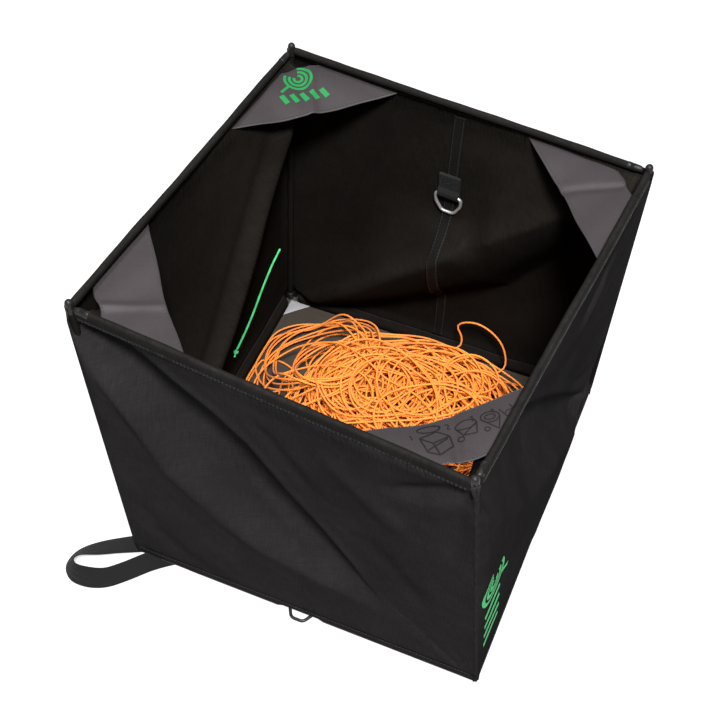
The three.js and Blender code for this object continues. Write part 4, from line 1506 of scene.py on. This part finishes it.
def line_route():
    """The whole line: the laps of the heap, and last the loop that stands up at the back."""
    rng = np.random.default_rng(11)
    standing = curve_through(STANDING_LOOP, 8)
    flat, lower_count = laps_from_above(rng)
    order = np.arange(len(flat))
    progress = np.clip(order / lower_count, 0, 1) ** 0.85
    dome = heap_height(flat[:, 0], flat[:, 1])
    base = HEAP_FLOOR + 1 + progress * (dome - HEAP_FLOOR - 2)
    base = base + (order >= lower_count) * (4 + 3 * np.sin(order / 9))
    laps = np.column_stack([flat, settled(flat, base, rng)])
    link = bridge(laps, standing, 22)
    link[:, 2] = np.maximum(link[:, 2], heap_height(link[:, 0], link[:, 1]) + 2)
    whole = evened(np.concatenate([laps, link, standing]))
    whole[:, 0] = np.clip(whole[:, 0], -HEAP_SIDE, HEAP_SIDE)
    whole[:, 1] = np.clip(whole[:, 1], HEAP_NEAR, HEAP_FAR)
    whole = respaced(eased(respaced(evened(whole), LINE_STEP)), LINE_STEP)
    whole[:, 2] = np.maximum(whole[:, 2], HEAP_FLOOR + LINE_DIAMETER / MM / 2)
    return whole * MM


def eased(path):
    """The path with its sharp turns rounded off and the rest left as it is."""
    path = path.copy()
    for _ in range(40):
        step = np.diff(path, axis=0)
        step /= np.linalg.norm(step, axis=1)[:, None]
        sharp = (step[1:] * step[:-1]).sum(axis=1) < 0.6
        rows = np.flatnonzero(np.convolve(sharp, np.ones(9), "same") > 0) + 1
        path[rows] = (path[rows - 1] + 2 * path[rows] + path[rows + 1]) / 4
    return path


def bridge(before, after, count):
    """A smooth run from the end of one path to the start of another."""
    start, end = before[-1], after[0]
    leave = (before[-1] - before[-3]) / 2
    arrive = (after[2] - after[0]) / 2
    share = np.linspace(0, 1, count + 2)[1:-1, None]
    return ((2 * share ** 3 - 3 * share ** 2 + 1) * start
            + (share ** 3 - 2 * share ** 2 + share) * leave * count
            + (3 * share ** 2 - 2 * share ** 3) * end
            + (share ** 3 - share ** 2) * arrive * count)


def add_throw_line(materials):
    route = line_route()
    build = Build()
    add_tube(build, route, LINE_DIAMETER / 2, sides=7)
    line = build.make("throw_line_laps", materials["line"])
    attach(line, "floor")
    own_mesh(line)
    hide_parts("throw_line")
    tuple(route[0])


def add_green_cord(materials):
    route = curve_through(CORD_ROUTE, 5)
    curve = bpy.data.curves.new("green_cord_run", "CURVE")
    curve.dimensions = "3D"
    spline = curve.splines.new("POLY")
    spline.points.add(len(route) - 1)
    for point, place in zip(spline.points, route):
        point.co = (*place, 1)
    curve.bevel_depth = CORD_DIAMETER / 2
    curve.bevel_resolution = 3
    curve.use_fill_caps = True
    curve.materials.append(materials["cord"])
    cord = bpy.data.objects.new("green_cord_run", curve)
    bpy.context.scene.collection.objects.link(cord)
    knot = add_knot(np.array(CORD_ROUTE[-1]) + np.array([0.0003, -0.0031, -0.0006]), materials)
    belong(cord, "lower_left", "green_cord", "green_cord")
    belong(knot, "lower_left", "green_cord", "green_cord_knot")
    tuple(CORD_ROUTE[0])


def add_knot(middle, materials):
    """Two turns of cord round the cord's end, and the short tail past them."""
    angles = np.linspace(0, 4 * math.pi, 60)
    wraps = [middle + np.array([1.7 * math.cos(a), 0.95 * (a / (2 * math.pi) - 1) * 1.6,
                                1.7 * math.sin(a)]) * MM for a in angles]
    tail = [middle + np.array(offset) * MM
            for offset in ((0.2, -1.5, 0.6), (0.5, -3.6, -0.4), (0.9, -6.0, -2.2))]
    build = Build()
    add_tube(build, wraps, 0.00115)
    add_tube(build, curve_through(tail, 5), 0.0011)
    return build.make("green_cord_end", materials["cord"])


# ---------------------------------------------------------------- the whole cube

def paint_rods(materials):
    """The rods stay as they come, with the rod's material on them."""
    for name, node in frame["nodes"].items():
        if "rod" in name:
            for slot in node.material_slots:
                slot.link = "OBJECT"
                slot.material = materials["rod"]


def build_cube():
    materials = make_materials()
    add_camera()
    add_throw_line(materials)
    add_green_cord(materials)
    add_studio()
    sheets = {}
    flaps = {}
    for wall, corner in zip(WALLS, CORNERS):
        sheets[wall] = add_wall(wall, materials)
        add_rim_hem(wall, materials)
        add_base_hem(wall, materials)
        add_upright(wall, corner, materials)
        flaps[corner] = add_flap(wall, corner, materials)
    add_floor(materials)
    add_seam_tape(sheets["back"], materials)
    add_ring("ring_inside", "inner_ring", "inner_ring", "inner_ring_swing", (0, 0, -1), "ring",
             "inner_ring_metal", materials)
    add_tab("tab_inside", "inner_ring_tab", "upper_back", "inner_ring_swing", (0, 0, 1),
            wall_inward("back"), 0.027, materials)
    add_ring("ring_outside", "outer_ring", "outer_ring", "outer_ring_swing", (0, -1, 0),
             "dark_ring", "outer_ring_metal", materials)
    add_tab("tab_outside", "outer_ring_tab", "floor", "outer_ring_swing", (0, 1, 0), (0, 0, 1),
            0.023, materials)
    add_handle(materials)
    add_step_marks(flaps["front_right"], "flap_front_right", materials)
    add_coil_marks(flaps["back_left"], sheets["right"], materials)
    paint_rods(materials)


build_cube()
